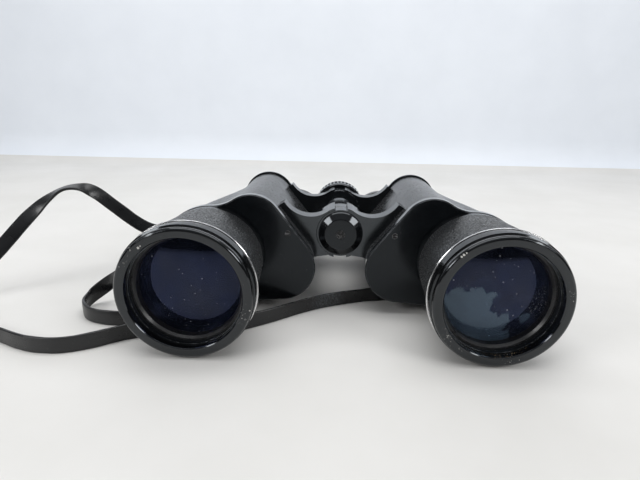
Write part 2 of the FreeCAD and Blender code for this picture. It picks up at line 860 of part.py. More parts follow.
def bridge_screw():
    """Broad slotted screw that holds the arms on the hub."""
    y0 = HUB_Y[1]
    y1 = y0 + BRIDGE_HEAD_T
    slot_depth = 0.9
    head = lathe(
        CENTRE,
        [
            (0, y0),
            (BRIDGE_HEAD_R, y0),
            (BRIDGE_HEAD_R, y1 - 0.8),
            (BRIDGE_HEAD_R - 0.8, y1),
            (0, y1),
        ],
    )
    slot = box(-5.5, 5.5, y1 - slot_depth, y1 + 1, -0.6, 0.6)
    return fuse([head, rod(CENTRE, BRIDGE_SCREW_R, y0 - 5, y0)]).cut(slot)


# ---- strap -------------------------------------------------------------------------------
EDGEWISE = (0, 0, 1)
FLAT = (0.15, 1, 0)
IN_SLOT = (0, 1, 0)

# Points along the strap's middle line, each with the direction of its width.
STRAP_MAIN = [
    ((-87, -28.5, -37.6), EDGEWISE),
    ((-101, -31, -37.6), EDGEWISE),
    ((-116, -32.5, -37.6), EDGEWISE),
    ((-129, -28.5, -37.6), EDGEWISE),
    ((-136.5, -19, -37.3), EDGEWISE),
    ((-136, -9.5, -35.5), EDGEWISE),
    ((-127, -8, -28.5), (0.2, 0, 1)),
    ((-114.5, -15, -19.5), (0.2, 0, 1)),
    ((-104.5, -15, -13.5), (0, 0, 1)),
    ((-101.5, 4, -15), (0, 0.2, 1)),
    ((-102, 24, -25), (0, 0.7, 0.7)),
    ((-101.2, 38, -29), (0, 1, 0.25)),
    ((-100.2, 45.5, -23), IN_SLOT),
    ((-100.2, 46, -15), IN_SLOT),
    ((-101.5, 46, -9.4), (0, 1, 0.1)),
    ((-106.5, 45.4, -9.6), (0.1, 0.95, 0.2)),
    ((-113.5, 44.8, -12.8), (0.25, 0.7, 0.6)),
    ((-122.5, 44, -12.4), (0.4, 0.5, 0.75)),
    ((-132.8, 43, -6.2), (0.5, 0.4, 0.75)),
    ((-143.8, 41, 3.8), (0.5, 0.4, 0.75)),
    ((-153, 38.3, 12.2), (0.4, 0.6, 0.65)),
    ((-160, 35.3, 15.9), (0.15, 0.95, 0.2)),
    ((-168, 31, 15.7), (-0.15, 1, 0.1)),
    ((-175.5, 26.5, 10.9), (-0.4, 0.75, 0.35)),
    ((-182.7, 21, 3.3), (-0.65, 0.3, 0.6)),
    ((-189.3, 13.5, -5.7), (-0.6, 0.15, 0.75)),
    ((-195.9, 6, -15.5), (-0.45, 0.1, 0.85)),
    ((-203.4, -2.5, -24.6), (-0.25, 0.05, 0.95)),
    ((-212.5, -13, -32), (-0.1, 0, 1)),
    ((-220.5, -24, -36.6), EDGEWISE),
    ((-221.5, -36, -37.6), EDGEWISE),
    ((-210, -42.5, -37.6), EDGEWISE),
    ((-192.4, -42, -37.6), EDGEWISE),
    ((-174, -46, -37.6), EDGEWISE),
    ((-158.7, -52.6, -37.6), EDGEWISE),
    ((-147.5, -57.6, -37.6), EDGEWISE),
    ((-137.5, -60.2, -37.6), EDGEWISE),
    ((-126.2, -60, -37.6), EDGEWISE),
    ((-115.5, -55.5, -37.6), EDGEWISE),
    ((-104, -47.3, -37.6), EDGEWISE),
    ((-94, -42.3, -37.7), (0, 0.25, 1)),
    ((-83, -38.8, -39.2), (0.1, 0.9, 0.6)),
    ((-76, -37.3, -40.5), (0.15, 1, 0.1)),
    ((-68, -36.3, -40.65), FLAT),
    ((-60, -35.2, -40.5), (0.15, 1, 0.1)),
    ((-54, -34, -39.2), (0.1, 0.9, 0.6)),
    ((-46, -31, -37.7), (0, 0.25, 1)),
    ((-35.5, -24.5, -37.6), EDGEWISE),
    ((-21, -13, -37.6), EDGEWISE),
    ((-9, -5, -37.6), EDGEWISE),
]
STRAP_LEFT_END = [
    ((15, 5, -37.6), EDGEWISE),
    ((22, 7.5, -37.8), (-0.1, 0.4, 1)),
    ((31, 10.5, -38.9), (-0.2, 1, 0.75)),
    ((42, 14, -40.4), (-0.25, 1, 0.15)),
    ((56, 19, -40.65), (-0.3, 1, 0)),
    ((70, 25, -40.65), (-0.4, 1, 0)),
    ((84, 33, -40.4), (-0.5, 1, 0.05)),
    ((94, 40.5, -37.8), (-0.3, 1, 0.1)),
    ((99.2, 45, -30), (-0.05, 1, 0.05)),
    ((100.2, 46, -22), IN_SLOT),
    ((100.2, 46, -15), IN_SLOT),
    ((100.5, 46, -9.6), IN_SLOT),
    ((103.3, 46, -6.9), IN_SLOT),
    ((106.1, 46, -9.8), IN_SLOT),
    ((106.5, 46.2, -16), IN_SLOT),
    ((106.2, 46.6, -23), IN_SLOT),
    ((105.2, 47, -29), IN_SLOT),
]
STRAP_STEPS = 3


def smooth_point(before, a, b, after, t):
    """A point on the smooth curve from a to b, t from 0 to 1."""
    return tuple(
        0.5 * (2 * q + (r - p) * t + (2 * p - 5 * q + 4 * r - s) * t**2 + (3 * q - p - 3 * r + s) * t**3)
        for p, q, r, s in zip(before, a, b, after)
    )


def ribbon(points):
    """A flat strap swept along its middle line, as one closed solid of ruled stretches."""
    places = [V(*place) for place, _ in points]
    dense = []
    last = len(points) - 1
    for index in range(last):
        four = [points[max(0, min(last, index + shift))] for shift in (-1, 0, 1, 2)]
        for step in range(STRAP_STEPS):
            t = step / STRAP_STEPS
            centre = smooth_point(*[item[0] for item in four], t)
            width = smooth_point(*[item[1] for item in four], t)
            dense.append((V(*centre), V(*width)))
    dense.append((places[-1], V(*points[-1][1])))
    sections = []
    for index, (centre, width) in enumerate(dense):
        ahead = dense[min(index + 1, len(dense) - 1)][0]
        behind = dense[max(index - 1, 0)][0]
        tangent = (ahead - behind).normalize()
        side = (width - tangent * width.dot(tangent)).normalize() * (STRAP_W / 2)
        normal = tangent.cross(side).normalize() * (STRAP_T / 2)
        corners = [
            centre + side + normal,
            centre + side - normal,
            centre - side - normal,
            centre - side + normal,
        ]
        sunk = max(0.0, TABLE_Z + STRAP_LIFT - min(corner.z for corner in corners))
        corners = [corner + V(0, 0, sunk) for corner in corners]
        sections.append(Part.makePolygon(corners + corners[:1]))
    return Part.makeLoft(sections, True, True)


# ---- the list of pieces ------------------------------------------------------------------
RIGHT, LEFT = 1, 0


def barrel_pieces():
    """Pieces that are the same on both sides, by name."""
    return {
        "front_cover": front_cover(),
        "rear_cover": rear_cover(),
        "cover_screws": cover_screws(),
        "objective_tube": objective_tube(),
        "tube_covering": tube_covering(),
        "trim_ring": trim_ring(),
        "objective_bezel": bezel(),
        "lens_retaining_ring": retaining_ring(),
        "objective_crown_lens": objective_crown(),
        "objective_flint_lens": objective_flint(),
        "prism_plate": prism_plate(),
        "front_prism": front_prism(),
        "rear_prism": rear_prism(),
        "prism_clips": prism_clips(),
        "strap_lug": strap_lug(),
        "ocular_guide_sleeve": guide_sleeve(),
        "ocular_cell": ocular_cell(),
        "field_lens": field_lens(),
        "eye_lens": eye_lens(),
        "eyecup": eyecup(),
    }


def mirrored(shape):
    return shape.mirror(V(0, 0, 0), V(1, 0, 0))


def all_pieces():
    pieces = {}
    for name, shape in barrel_pieces().items():
        pieces["left_" + name] = shape
        pieces["right_" + name] = mirrored(shape)
    left_housing = prism_housing(LEFT, RIGHT, AXLE_R + RUNNING_GAP)
    right_housing = prism_housing(RIGHT, LEFT, AXLE_R)
    pieces["left_prism_housing"] = left_housing
    pieces["left_housing_covering"] = housing_covering(left_housing)
    pieces["right_prism_housing"] = mirrored(right_housing)
    pieces["right_housing_covering"] = mirrored(housing_covering(right_housing))
    pieces["left_ocular_barrel"] = ocular_barrel(0)
    pieces["right_ocular_barrel"] = mirrored(ocular_barrel(RUNNING_GAP))
    pieces["left_ocular_arm"] = ocular_arm(LEFT_RING_Y, HUB_R + RUNNING_GAP)
    pieces["right_ocular_arm"] = mirrored(ocular_arm(RIGHT_RING_Y, HUB_R + RUNNING_GAP))
    pieces["left_eyepiece_ring"] = eyepiece_ring(BARREL_R, 0)
    pieces["diopter_ring"] = mirrored(eyepiece_ring(BARREL_R + RUNNING_GAP, 36))
    pieces["hinge_axle"] = hinge_axle()
    pieces["hinge_post"] = hinge_post()
    pieces["hinge_cap"] = hinge_cap()
    pieces["hinge_cap_screw"] = hinge_cap_screw()
    pieces["thrust_washers"] = thrust_washers()
    pieces["focus_wheel"] = focus_wheel()
    pieces["focus_spindle"] = focus_spindle()
    pieces["bridge_screw"] = bridge_screw()
    pieces["neck_strap"] = ribbon(STRAP_MAIN)
    pieces["neck_strap_left_end"] = ribbon(STRAP_LEFT_END)
    return pieces


os.makedirs("parts", exist_ok=True)
for node, shape in all_pieces().items():
    shape.exportStep("parts/" + node + ".step")
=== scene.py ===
import json
import math

import bpy
import numpy as np
from mathutils import Matrix, Vector


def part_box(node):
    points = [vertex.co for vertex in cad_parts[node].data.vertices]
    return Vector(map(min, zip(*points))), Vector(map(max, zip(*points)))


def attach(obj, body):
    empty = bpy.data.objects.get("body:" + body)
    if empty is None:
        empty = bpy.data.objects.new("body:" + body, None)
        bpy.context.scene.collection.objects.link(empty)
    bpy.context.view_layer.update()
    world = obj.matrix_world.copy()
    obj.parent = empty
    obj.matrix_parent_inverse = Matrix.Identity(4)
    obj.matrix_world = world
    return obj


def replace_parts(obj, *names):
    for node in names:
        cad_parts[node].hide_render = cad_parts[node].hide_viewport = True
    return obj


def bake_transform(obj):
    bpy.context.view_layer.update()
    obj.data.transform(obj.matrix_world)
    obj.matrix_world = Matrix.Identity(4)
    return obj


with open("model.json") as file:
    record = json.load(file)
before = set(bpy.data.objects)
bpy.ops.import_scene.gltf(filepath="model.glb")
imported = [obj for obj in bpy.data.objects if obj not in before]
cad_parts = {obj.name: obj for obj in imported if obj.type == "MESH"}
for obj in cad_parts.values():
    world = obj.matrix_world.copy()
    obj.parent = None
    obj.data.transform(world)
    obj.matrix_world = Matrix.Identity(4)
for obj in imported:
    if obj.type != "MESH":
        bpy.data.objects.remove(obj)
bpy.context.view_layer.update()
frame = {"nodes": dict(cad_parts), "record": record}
NODES = frame["nodes"]
MM = 0.001

# ---- places taken from the frame -----------------------------------------------------------


def middle(node):
    low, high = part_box(node)
    return (low + high) / 2


BEZEL_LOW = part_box("left_objective_bezel")[0]
OBJECTIVE_X = middle("left_objective_bezel").x
OBJECTIVE_Z = middle("left_objective_bezel").z
TABLE_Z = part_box("left_trim_ring")[0].z


# ---- procedural materials ------------------------------------------------------------------


class Finish:
    """A node-built material. Sizes are millimetres; coordinates are those of the part's frame."""

    def __init__(self, name, uv=False):
        self.material = bpy.data.materials.new(name)
        self.material.use_nodes = True
        self.tree = self.material.node_tree
        self.surface = self.tree.nodes["Principled BSDF"]
        self.output = self.tree.nodes["Material Output"]
        coordinates = self.tree.nodes.new("ShaderNodeTexCoord")
        self.place = coordinates.outputs["UV" if uv else "Object"]

    def feed(self, socket, value):
        if isinstance(value, bpy.types.NodeSocket):
            self.tree.links.new(value, socket)
        elif value is not None:
            socket.default_value = value

    def node(self, kind, inputs=None, **settings):
        made = self.tree.nodes.new("ShaderNode" + kind)
        for key, value in settings.items():
            setattr(made, key, value)
        for key, value in (inputs or {}).items():
            self.feed(made.inputs[key], value)
        return made

    def set(self, **inputs):
        for key, value in inputs.items():
            self.feed(self.surface.inputs[key.replace("_", " ")], value)

    def stretched(self, x=1.0, y=1.0, z=1.0):
        mapping = self.node("Mapping", {"Vector": self.place, "Scale": (x, y, z)})
        return mapping.outputs["Vector"]

    def noise(self, size, detail=3.0, rough=0.55, at=None, twist=0.0):
        made = self.node(
            "TexNoise",
            {
                "Vector": at or self.place,
                "Scale": 1 / (size * MM),
                "Detail": detail,
                "Roughness": rough,
                "Distortion": twist,
            },
        )
        return made.outputs["Fac"]

    def cells(self, size, feature="F1", output="Distance", at=None):
        made = self.node(
            "TexVoronoi",
            {"Vector": at or self.place, "Scale": 1 / (size * MM)},
            feature=feature,
        )
        return made.outputs[output]

    def span(self, value, low, high, to_low=0.0, to_high=1.0, smooth=False):
        made = self.node(
            "MapRange",
            {
                "Value": value,
                "From Min": low,
                "From Max": high,
                "To Min": to_low,
                "To Max": to_high,
            },
            interpolation_type="SMOOTHSTEP" if smooth else "LINEAR",
            clamp=True,
        )
        return made.outputs["Result"]

    def sum(self, operation, a, b):
        made = self.node("Math", operation=operation)
        self.feed(made.inputs[0], a)
        self.feed(made.inputs[1], b)
        return made.outputs[0]

    def times(self, a, b):
        return self.sum("MULTIPLY", a, b)

    def plus(self, a, b):
        return self.sum("ADD", a, b)

    def most(self, a, b):
        return self.sum("MAXIMUM", a, b)

    def tint(self, share, a, b):
        """Colour a where share is 0, colour b where it is 1."""
        made = self.node("Mix", data_type="RGBA")
        self.feed(made.inputs["Factor"], share)
        self.feed(made.inputs[6], a if isinstance(a, bpy.types.NodeSocket) else (*a, 1.0))
        self.feed(made.inputs[7], b if isinstance(b, bpy.types.NodeSocket) else (*b, 1.0))
        return made.outputs[2]

    def mixed(self, share, a, b):
        """Shader a where share is 0, shader b where it is 1."""
        made = self.node("MixShader", {"Fac": share})
        self.tree.links.new(a.outputs[0], made.inputs[1])
        self.tree.links.new(b.outputs[0], made.inputs[2])
        return made

    def axis(self, name):
        parts = self.node("SeparateXYZ", {"Vector": self.place})
        return parts.outputs[name]

    def near(self, x, z, reach):
        """1 at a place in the X-Z plane (millimetres), 0 from reach outwards."""
        flat = self.node("VectorMath", {0: self.place, 1: (1, 0, 1)}, operation="MULTIPLY")
        spot = (x * MM, 0, z * MM)
        away = self.node("VectorMath", {0: flat.outputs[0], 1: spot}, operation="DISTANCE")
        return self.span(away.outputs["Value"], reach * MM, 0.0)

    def edges(self, radius, gain):
        """Near 1 along sharp edges, 0 on open faces."""
        rounded = self.node("Bevel", {"Radius": radius * MM}, samples=6).outputs["Normal"]
        flat = self.node("NewGeometry").outputs["Normal"]
        turn = self.node("VectorMath", operation="DOT_PRODUCT")
        self.feed(turn.inputs[0], rounded)
        self.feed(turn.inputs[1], flat)
        return self.span(turn.outputs["Value"], 0.995, 0.995 - gain, smooth=True)

    def bump(self, height, depth, under=None, strength=1.0):
        made = self.node(
            "Bump", {"Height": height, "Distance": depth * MM, "Strength": strength}
        )
        if under is not None:
            self.feed(made.inputs["Normal"], under)
        return made.outputs["Normal"]

    def soft_edge(self, radius):
        return self.node("Bevel", {"Radius": radius * MM}, samples=4).outputs["Normal"]


def dust_specks(finish, size, share):
    """Small pale specks, gathered in patches."""
    speck = finish.span(finish.cells(size), 0.13, 0.07)
    pick = finish.node("SeparateColor", {"Color": finish.cells(size, output="Color")}).outputs[0]
    pick = finish.span(pick, 1 - share, 1 - share + 0.02)
    patch = finish.span(finish.noise(size * 14, 2.0), 0.42, 0.62)
    return finish.times(finish.times(speck, pick), patch)


def smudges(finish, size, low, high):
    """Roughness that wanders between low and high, as handled enamel does."""
    wide = finish.noise(size, 4.0, 0.6, twist=0.6)
    return finish.span(wide, 0.32, 0.68, low, high)


# Old black enamel and leatherette throw back a slightly bluish light.
SHEEN = (0.86, 0.93, 1.0, 1.0)


def enamel(name, colour, shine, grain, grain_depth, wear_and_sheen, worn_colour, specular=0.5):
    """Stoved enamel on metal: fine orange peel, smudges, specks of dust and rubbed edges."""
    finish = Finish(name)
    fine = finish.noise(grain, 3.0, 0.6)
    wide = finish.noise(11.0, 4.0, 0.6)
    thin = [c * 0.8 for c in colour]
    full = [c * 1.35 for c in colour]
    shade = finish.tint(finish.span(wide, 0.3, 0.7), thin, full)
    # Rubbed edges in a paler colour: real wear, and with the cover plates' settings also a painted
    # highlight along the edges.
    handled = finish.span(finish.noise(2.6, 5.0, 0.7), 0.62 - wear_and_sheen, 0.72)
    rub = finish.times(finish.edges(0.55, 0.11), handled)
    shade = finish.tint(rub, shade, worn_colour)
    dust = dust_specks(finish, 1.1, 0.10)
    shade = finish.tint(finish.times(dust, 0.6), shade, (0.42, 0.41, 0.39))
    scratch = finish.noise(0.9, 2.0, 0.5, at=finish.stretched(1.0, 0.06, 0.35), twist=0.8)
    scratch = finish.span(scratch, 0.70, 0.76)
    roughness = smudges(finish, 9.0, shine * 0.85, shine * 1.25)
    roughness = finish.plus(roughness, finish.times(scratch, 0.12))
    normal = finish.bump(fine, grain_depth, finish.soft_edge(0.18))
    finish.set(Base_Color=shade, Roughness=roughness, Normal=normal, Metallic=finish.times(rub, 0.55))
    finish.set(Specular_IOR_Level=specular, Specular_Tint=SHEEN)
    return finish


def cast_black():
    """Semi-gloss enamel of the castings."""
    return enamel(
        "cast_black",
        colour=(0.0062, 0.0068, 0.0076),
        shine=0.18,
        grain=0.32,
        grain_depth=0.004,
        wear_and_sheen=0.12,
        worn_colour=(0.24, 0.25, 0.26),
        specular=0.9,
    ).material


def cover_black():
    """Enamel of the cover plates; the turned-back skirt of the front ones is glossier. Their pale edges
    are partly wear and partly a painted highlight along the plate edges.
    """
    finish = enamel(
        "cover_black",
        colour=(0.0035, 0.0042, 0.0050),
        shine=0.17,
        grain=0.5,
        grain_depth=0.0015,
        # the pale edge amount and colour here are partly wear and partly a painted highlight along the
        # plate edges
        wear_and_sheen=0.24,
        worn_colour=(0.34, 0.35, 0.37),
    )
    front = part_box("left_front_cover")[0].y
    skirt = finish.span(finish.axis("Y"), front + 0.42 * MM, front + 0.50 * MM)
    finish.set(
        Specular_IOR_Level=finish.span(skirt, 0.0, 1.0, 0.36, 1.0),
        Coat_Weight=finish.times(skirt, 0.7),
        Coat_Roughness=0.12,
    )
    return finish.material


# Chipped places on the front rims: X and Z from the objective's axis, and reach, in millimetres.
RIM_CHIPS = {
    -1: [(-16.9, 21.1, 0.9), (-16.0, 21.9, 0.5), (28.6, -6.0, 0.5)],
    1: [(-20.2, 20.9, 0.7), (-19.3, 21.7, 0.9), (-18.3, 22.5, 0.6), (24.0, -17.5, 0.5)],
}
RIM_WORN_ZONES = {
    -1: [(-24.0, 17.0, 9.0), (28.0, -10.0, 10.0)],
    1: [(-22.0, -19.5, 12.0), (28.5, 7.0, 11.0), (8.0, -27.0, 9.0)],
}


def marked_places(finish, places):
    """1 at any of the listed places on the front rims, falling to 0 at each one's reach."""
    marked = None
    for sign in (-1, 1):
        for x, z, reach in places[sign]:
            spot = finish.near(sign * OBJECTIVE_X / MM + x, OBJECTIVE_Z / MM + z, reach)
            marked = spot if marked is None else finish.most(marked, spot)
    return marked


def rim_chips(finish):
    """Chips and fine wear dots in the enamel of the front rims."""
    front = BEZEL_LOW.y
    flake = finish.noise(0.8, 3.0, 0.65, twist=0.4)
    chip = finish.plus(marked_places(finish, RIM_CHIPS), finish.times(flake, 0.8))
    chip = finish.span(chip, 0.80, 0.86)
    zone = marked_places(finish, RIM_WORN_ZONES)
    dots = finish.times(flake, finish.span(zone, 0.0, 0.5, 0.86, 1.0))
    dots = finish.times(finish.span(dots, 0.665, 0.68), finish.span(zone, 0.0, 0.15))
    near_rim = finish.span(finish.axis("Y"), front + 3.4 * MM, front + 2.6 * MM)
    return finish.times(finish.most(chip, dots), near_rim)


def rim_grit(finish):
    """Dried dirt in the foot of the left bezel."""
    front = BEZEL_LOW.y
    foot = finish.span(finish.axis("Y"), front, front + 1.2 * MM)
    foot = finish.times(finish.near(72.0, -36.0, 13.0), foot)
    grain = finish.span(finish.noise(0.75, 3.0, 0.7), 0.60, 0.66)
    return finish.times(grain, finish.span(foot, 0.1, 0.5))


def cap_front(finish):
    """1 on the flat face of the hinge cap."""
    face = finish.span(finish.axis("Y"), 0.5 * MM, 0.05 * MM)
    return finish.span(finish.times(finish.near(0.0, 0.0, 12.0), face), 0.26, 0.30)


def bezel_side(finish):
    """1 on the turned side of each bezel, behind its front rim."""
    front = BEZEL_LOW.y
    band = finish.span(finish.axis("Y"), front + 3.3 * MM, front + 3.6 * MM)
    return finish.times(band, finish.span(finish.axis("Y"), -20 * MM, -30 * MM))


def gloss_black():
    """Gloss enamel on the bezels, cap and focus wheel, chipped in places on the front rims."""
    finish = enamel(
        "gloss_black",
        colour=(0.0026, 0.0027, 0.0030),
        shine=0.09,
        grain=1.4,
        grain_depth=0.002,
        wear_and_sheen=0.02,
        worn_colour=(0.16, 0.16, 0.165),
    )
    inputs = finish.surface.inputs
    chip = rim_chips(finish)
    grit = rim_grit(finish)
    face = cap_front(finish)
    side = bezel_side(finish)
    bare = finish.tint(finish.noise(0.7), (0.34, 0.33, 0.31), (0.66, 0.65, 0.62))
    shade = finish.tint(grit, inputs["Base Color"].links[0].from_socket, (0.22, 0.15, 0.075))
    rough = inputs["Roughness"].links[0].from_socket
    for place, least in ((grit, 0.8), (face, 0.36), (side, 0.12), (chip, 0.5)):
        rough = finish.most(rough, finish.times(place, least))
    under = inputs["Normal"].links[0].from_socket
    finish.set(
        Base_Color=finish.tint(chip, shade, bare),
        Roughness=rough,
        Normal=finish.bump(finish.times(chip, -1.0), 0.05, under),
        Coat_Weight=finish.span(finish.most(side, face), 0.0, 1.0, 0.35, 0.0),
        Coat_Roughness=0.08,
    )
    return finish.material


def leatherette(name, low_colour, high_colour, rough_low, rough_high, pore):
    """Leatherette over a modelled relief: dull in the valleys, rubbed shiny on the tops."""
    finish = Finish(name)
    relief = finish.node("Attribute", attribute_name="relief").outputs["Fac"]
    fine = finish.noise(pore, 3.0, 0.65)
    wide = finish.noise(14.0, 4.0, 0.6)
    top = finish.span(finish.plus(relief, finish.times(wide, 0.35)), 0.35, 1.0)
    shade = finish.tint(top, low_colour, high_colour)
    grey = finish.times(finish.span(wide, 0.35, 0.75), 0.35)
    shade = finish.tint(grey, shade, [c * 1.5 for c in high_colour])
    dust = dust_specks(finish, 0.9, 0.08)
    shade = finish.tint(finish.times(dust, 0.5), shade, (0.40, 0.40, 0.38))
    roughness = finish.span(top, 0.0, 1.0, rough_high, rough_low)
    roughness = finish.plus(roughness, finish.span(fine, 0.3, 0.7, -0.05, 0.07))
    finish.set(
        Base_Color=shade,
        Roughness=roughness,
        Normal=finish.bump(fine, 0.015),
        Specular_IOR_Level=0.5,
        Specular_Tint=SHEEN,
        Sheen_Weight=0.05,
    )
    return finish.material


def grained_skin():
    return leatherette(
        "grained_skin",
        low_colour=(0.006, 0.0066, 0.0074),
        high_colour=(0.013, 0.0142, 0.0160),
        rough_low=0.15,
        rough_high=0.32,
        pore=0.22,
    )


def pebbled_skin():
    return leatherette(
        "pebbled_skin",
        low_colour=(0.004, 0.0043, 0.0047),
        high_colour=(0.015, 0.0163, 0.0178),
        rough_low=0.17,
        rough_high=0.48,
        pore=0.25,
    )


def strap_vinyl():
    """Black vinyl: faint pores, cross creases where it bends, a few rubbed marks, and a painted sheen
    patch under the hinge.
    """
    finish = Finish("strap_vinyl")
    wide = finish.noise(16.0, 4.0, 0.6)
    pores = finish.cells(0.45)
    crease = finish.noise(1.6, 3.0, 0.6, twist=1.2)
    shade = finish.tint(finish.span(wide, 0.3, 0.7), (0.0050, 0.0054, 0.0062), (0.0095, 0.0100, 0.0112))
    rubbed = finish.times(finish.edges(0.5, 0.25), finish.span(finish.noise(2.0, 4.0, 0.7), 0.45, 0.7))
    shade = finish.tint(finish.times(rubbed, 0.55), shade, (0.085, 0.085, 0.088))
    dust = dust_specks(finish, 1.3, 0.08)
    shade = finish.tint(finish.times(dust, 0.5), shade, (0.35, 0.35, 0.33))
    # painted sheen: a pale bluish speckled patch where the strap passes under the hinge, standing in
    # for light reflected off the vinyl there
    patch = finish.span(finish.near(-6.0, -38.5, 11.0), 0.1, 0.6)
    wear_and_sheen = finish.times(finish.span(finish.noise(0.55, 3.0, 0.6), 0.46, 0.62), patch)
    # the paler colour mixed in here is painted sheen, not wear
    shade = finish.tint(finish.times(wear_and_sheen, 0.6), shade, (0.16, 0.18, 0.20))
    roughness = finish.span(wide, 0.3, 0.7, 0.22, 0.36)
    normal = finish.bump(pores, 0.02)
    normal = finish.bump(crease, 0.05, normal)
    finish.set(Base_Color=shade, Roughness=roughness, Normal=normal, Specular_IOR_Level=0.5)
    return finish.material


def turned_metal(name, colour, rough, metallic=1.0, worn_colour=None):
    """Lathe-turned metal: fine rings round the axis, slight stains, bright rubbed edges."""
    finish = Finish(name)
    rings = finish.noise(0.12, 2.0, 0.5, at=finish.stretched(0.02, 1.0, 0.02))
    stain = finish.noise(4.0, 5.0, 0.65)
    dull = [c * 0.8 for c in colour]
    clean = [min(1.0, c * 1.15) for c in colour]
    shade = finish.tint(finish.span(stain, 0.3, 0.75), dull, clean)
    if worn_colour:
        handled = finish.span(finish.noise(1.8, 4.0, 0.7), 0.45, 0.65)
        rub = finish.times(finish.edges(0.4, 0.12), handled)
        shade = finish.tint(rub, shade, worn_colour)
    roughness = finish.plus(
        finish.span(stain, 0.3, 0.7, rough * 0.8, rough * 1.3),
        finish.span(rings, 0.3, 0.7, -0.04, 0.05),
    )
    normal = finish.bump(rings, 0.006, finish.soft_edge(0.12))
    finish.set(Base_Color=shade, Roughness=roughness, Metallic=metallic, Normal=normal)
    return finish.material


def bright_trim():
    return turned_metal("bright_trim", (0.78, 0.78, 0.79), 0.16)


def black_alloy():
    return turned_metal("black_alloy", (0.010, 0.010, 0.011), 0.30, 0.0, (0.13, 0.13, 0.135))


def bright_steel():
    return turned_metal("bright_steel", (0.52, 0.52, 0.51), 0.28)


def blackened_screw():
    return turned_metal("blackened_screw", (0.014, 0.014, 0.015), 0.34, 0.4, (0.48, 0.48, 0.49))


def spring_steel():
    return turned_metal("spring_steel", (0.48, 0.49, 0.50), 0.24)


def thrust_brass():
    return turned_metal("thrust_brass", (0.62, 0.44, 0.18), 0.30)


def eyecup_plastic():
    """Hard black plastic, scuffed dull on its rim."""
    finish = Finish("eyecup_plastic")
    stain = finish.noise(7.0, 4.0, 0.6)
    shade = finish.tint(finish.span(stain, 0.3, 0.7), (0.010, 0.010, 0.011), (0.017, 0.017, 0.018))
    scuff = finish.times(finish.edges(0.7, 0.2), finish.span(finish.noise(1.4, 5.0, 0.7), 0.42, 0.62))
    shade = finish.tint(scuff, shade, (0.11, 0.11, 0.11))
    dust = dust_specks(finish, 1.0, 0.10)
    shade = finish.tint(finish.times(dust, 0.5), shade, (0.4, 0.4, 0.38))
    roughness = finish.plus(finish.span(stain, 0.3, 0.7, 0.24, 0.38), finish.times(scuff, 0.2))
    normal = finish.bump(finish.noise(0.5, 2.0), 0.006, finish.soft_edge(0.2))
    finish.set(Base_Color=shade, Roughness=roughness, Normal=normal)
    return finish.material


def lens_film(finish):
    """1 where a greasy film has crept over the left lens from below, with streaks in it."""
    creep = finish.times(finish.near(82.0, -21.0, 16.0), 0.62)
    creep = finish.most(finish.near(57.0, -27.0, 40.0), creep)
    edge = finish.times(finish.noise(12.0, 2.5, 0.5, twist=0.8), 0.6)
    film = finish.span(finish.plus(creep, edge), 0.820, 0.835)
    streaks = finish.span(finish.noise(4.0, 3.0, 0.6, twist=0.8), 0.25, 0.75, 0.75, 1.0)
    return finish.times(film, streaks)


def lens_dirt(finish, film):
    """How much of the glass is covered by dust, lint, haze, edge dirt and the film."""
    dust = finish.most(dust_specks(finish, 1.9, 0.5), dust_specks(finish, 3.1, 0.5))
    lint = finish.span(finish.noise(1.1, 4.0, 0.7, twist=2.0), 0.735, 0.76)
    haze = finish.span(finish.noise(8.0, 4.0, 0.6, twist=0.5), 0.38, 0.70, 0.014, 0.040)
    left_lens = finish.span(finish.axis("X"), 0.0, 1.0 * MM)
    haze = finish.plus(haze, finish.times(left_lens, 0.010))
    edge_dirt = finish.span(finish.noise(0.7, 3.0, 0.7), 0.56, 0.68)
    edge_dirt = finish.times(edge_dirt, finish.near(90.0, -14.0, 12.0))
    cover = finish.plus(finish.most(finish.times(dust, 0.5), finish.times(lint, 0.35)), haze)
    cover = finish.most(cover, finish.times(edge_dirt, 0.6))
    return finish.most(cover, finish.times(film, 0.15))


def coated_glass():
    """Coated lens: see-through, with a blue reflection, dust, and a film on the left one."""
    finish = Finish("coated_glass")
    finish.tree.nodes.remove(finish.surface)
    film = lens_film(finish)
    veil = finish.span(finish.noise(15.0, 3.0, 0.5, twist=0.5), 0.40, 0.70)
    colour = finish.tint(veil, (0.38, 0.47, 0.92), (0.50, 0.56, 0.86))
    colour = finish.tint(film, colour, (0.62, 0.80, 0.95))
    mirror = finish.node(
        "BsdfGlossy", {"Color": colour, "Roughness": finish.span(film, 0.0, 1.0, 0.03, 0.16)}
    )
    clear = finish.node("BsdfTransparent", {"Color": (0.26, 0.28, 0.33, 1.0)})
    facing = finish.node("Fresnel", {"IOR": 1.45}).outputs[0]
    facing = finish.span(facing, 0.0, 1.0, 0.006, 1.0)
    share = finish.times(facing, finish.span(film, 0.0, 1.0, 1.0, 1.9))
    cover = lens_dirt(finish, film)
    powder = finish.tint(finish.span(cover, 0.04, 0.2), (0.26, 0.31, 0.50), (0.55, 0.56, 0.58))
    powder = finish.tint(film, powder, (0.22, 0.34, 0.50))
    powder = finish.node("BsdfDiffuse", {"Color": powder})
    glass = finish.mixed(share, clear, mirror)
    both = finish.mixed(cover, glass, powder)
    finish.tree.links.new(both.outputs[0], finish.output.inputs["Surface"])
    return finish.material


def prism_glass():
    """Polished prism glass with ground sides and a trace of haze."""
    finish = Finish("prism_glass")
    haze = finish.noise(6.0, 4.0, 0.6)
    shade = finish.tint(finish.span(haze, 0.3, 0.7), (0.55, 0.62, 0.60), (0.72, 0.78, 0.76))
    finish.set(
        Base_Color=shade,
        Roughness=finish.span(haze, 0.3, 0.7, 0.04, 0.16),
        IOR=1.57,
        Transmission_Weight=0.8,
        Normal=finish.bump(finish.noise(0.6), 0.003),
    )
    return finish.material


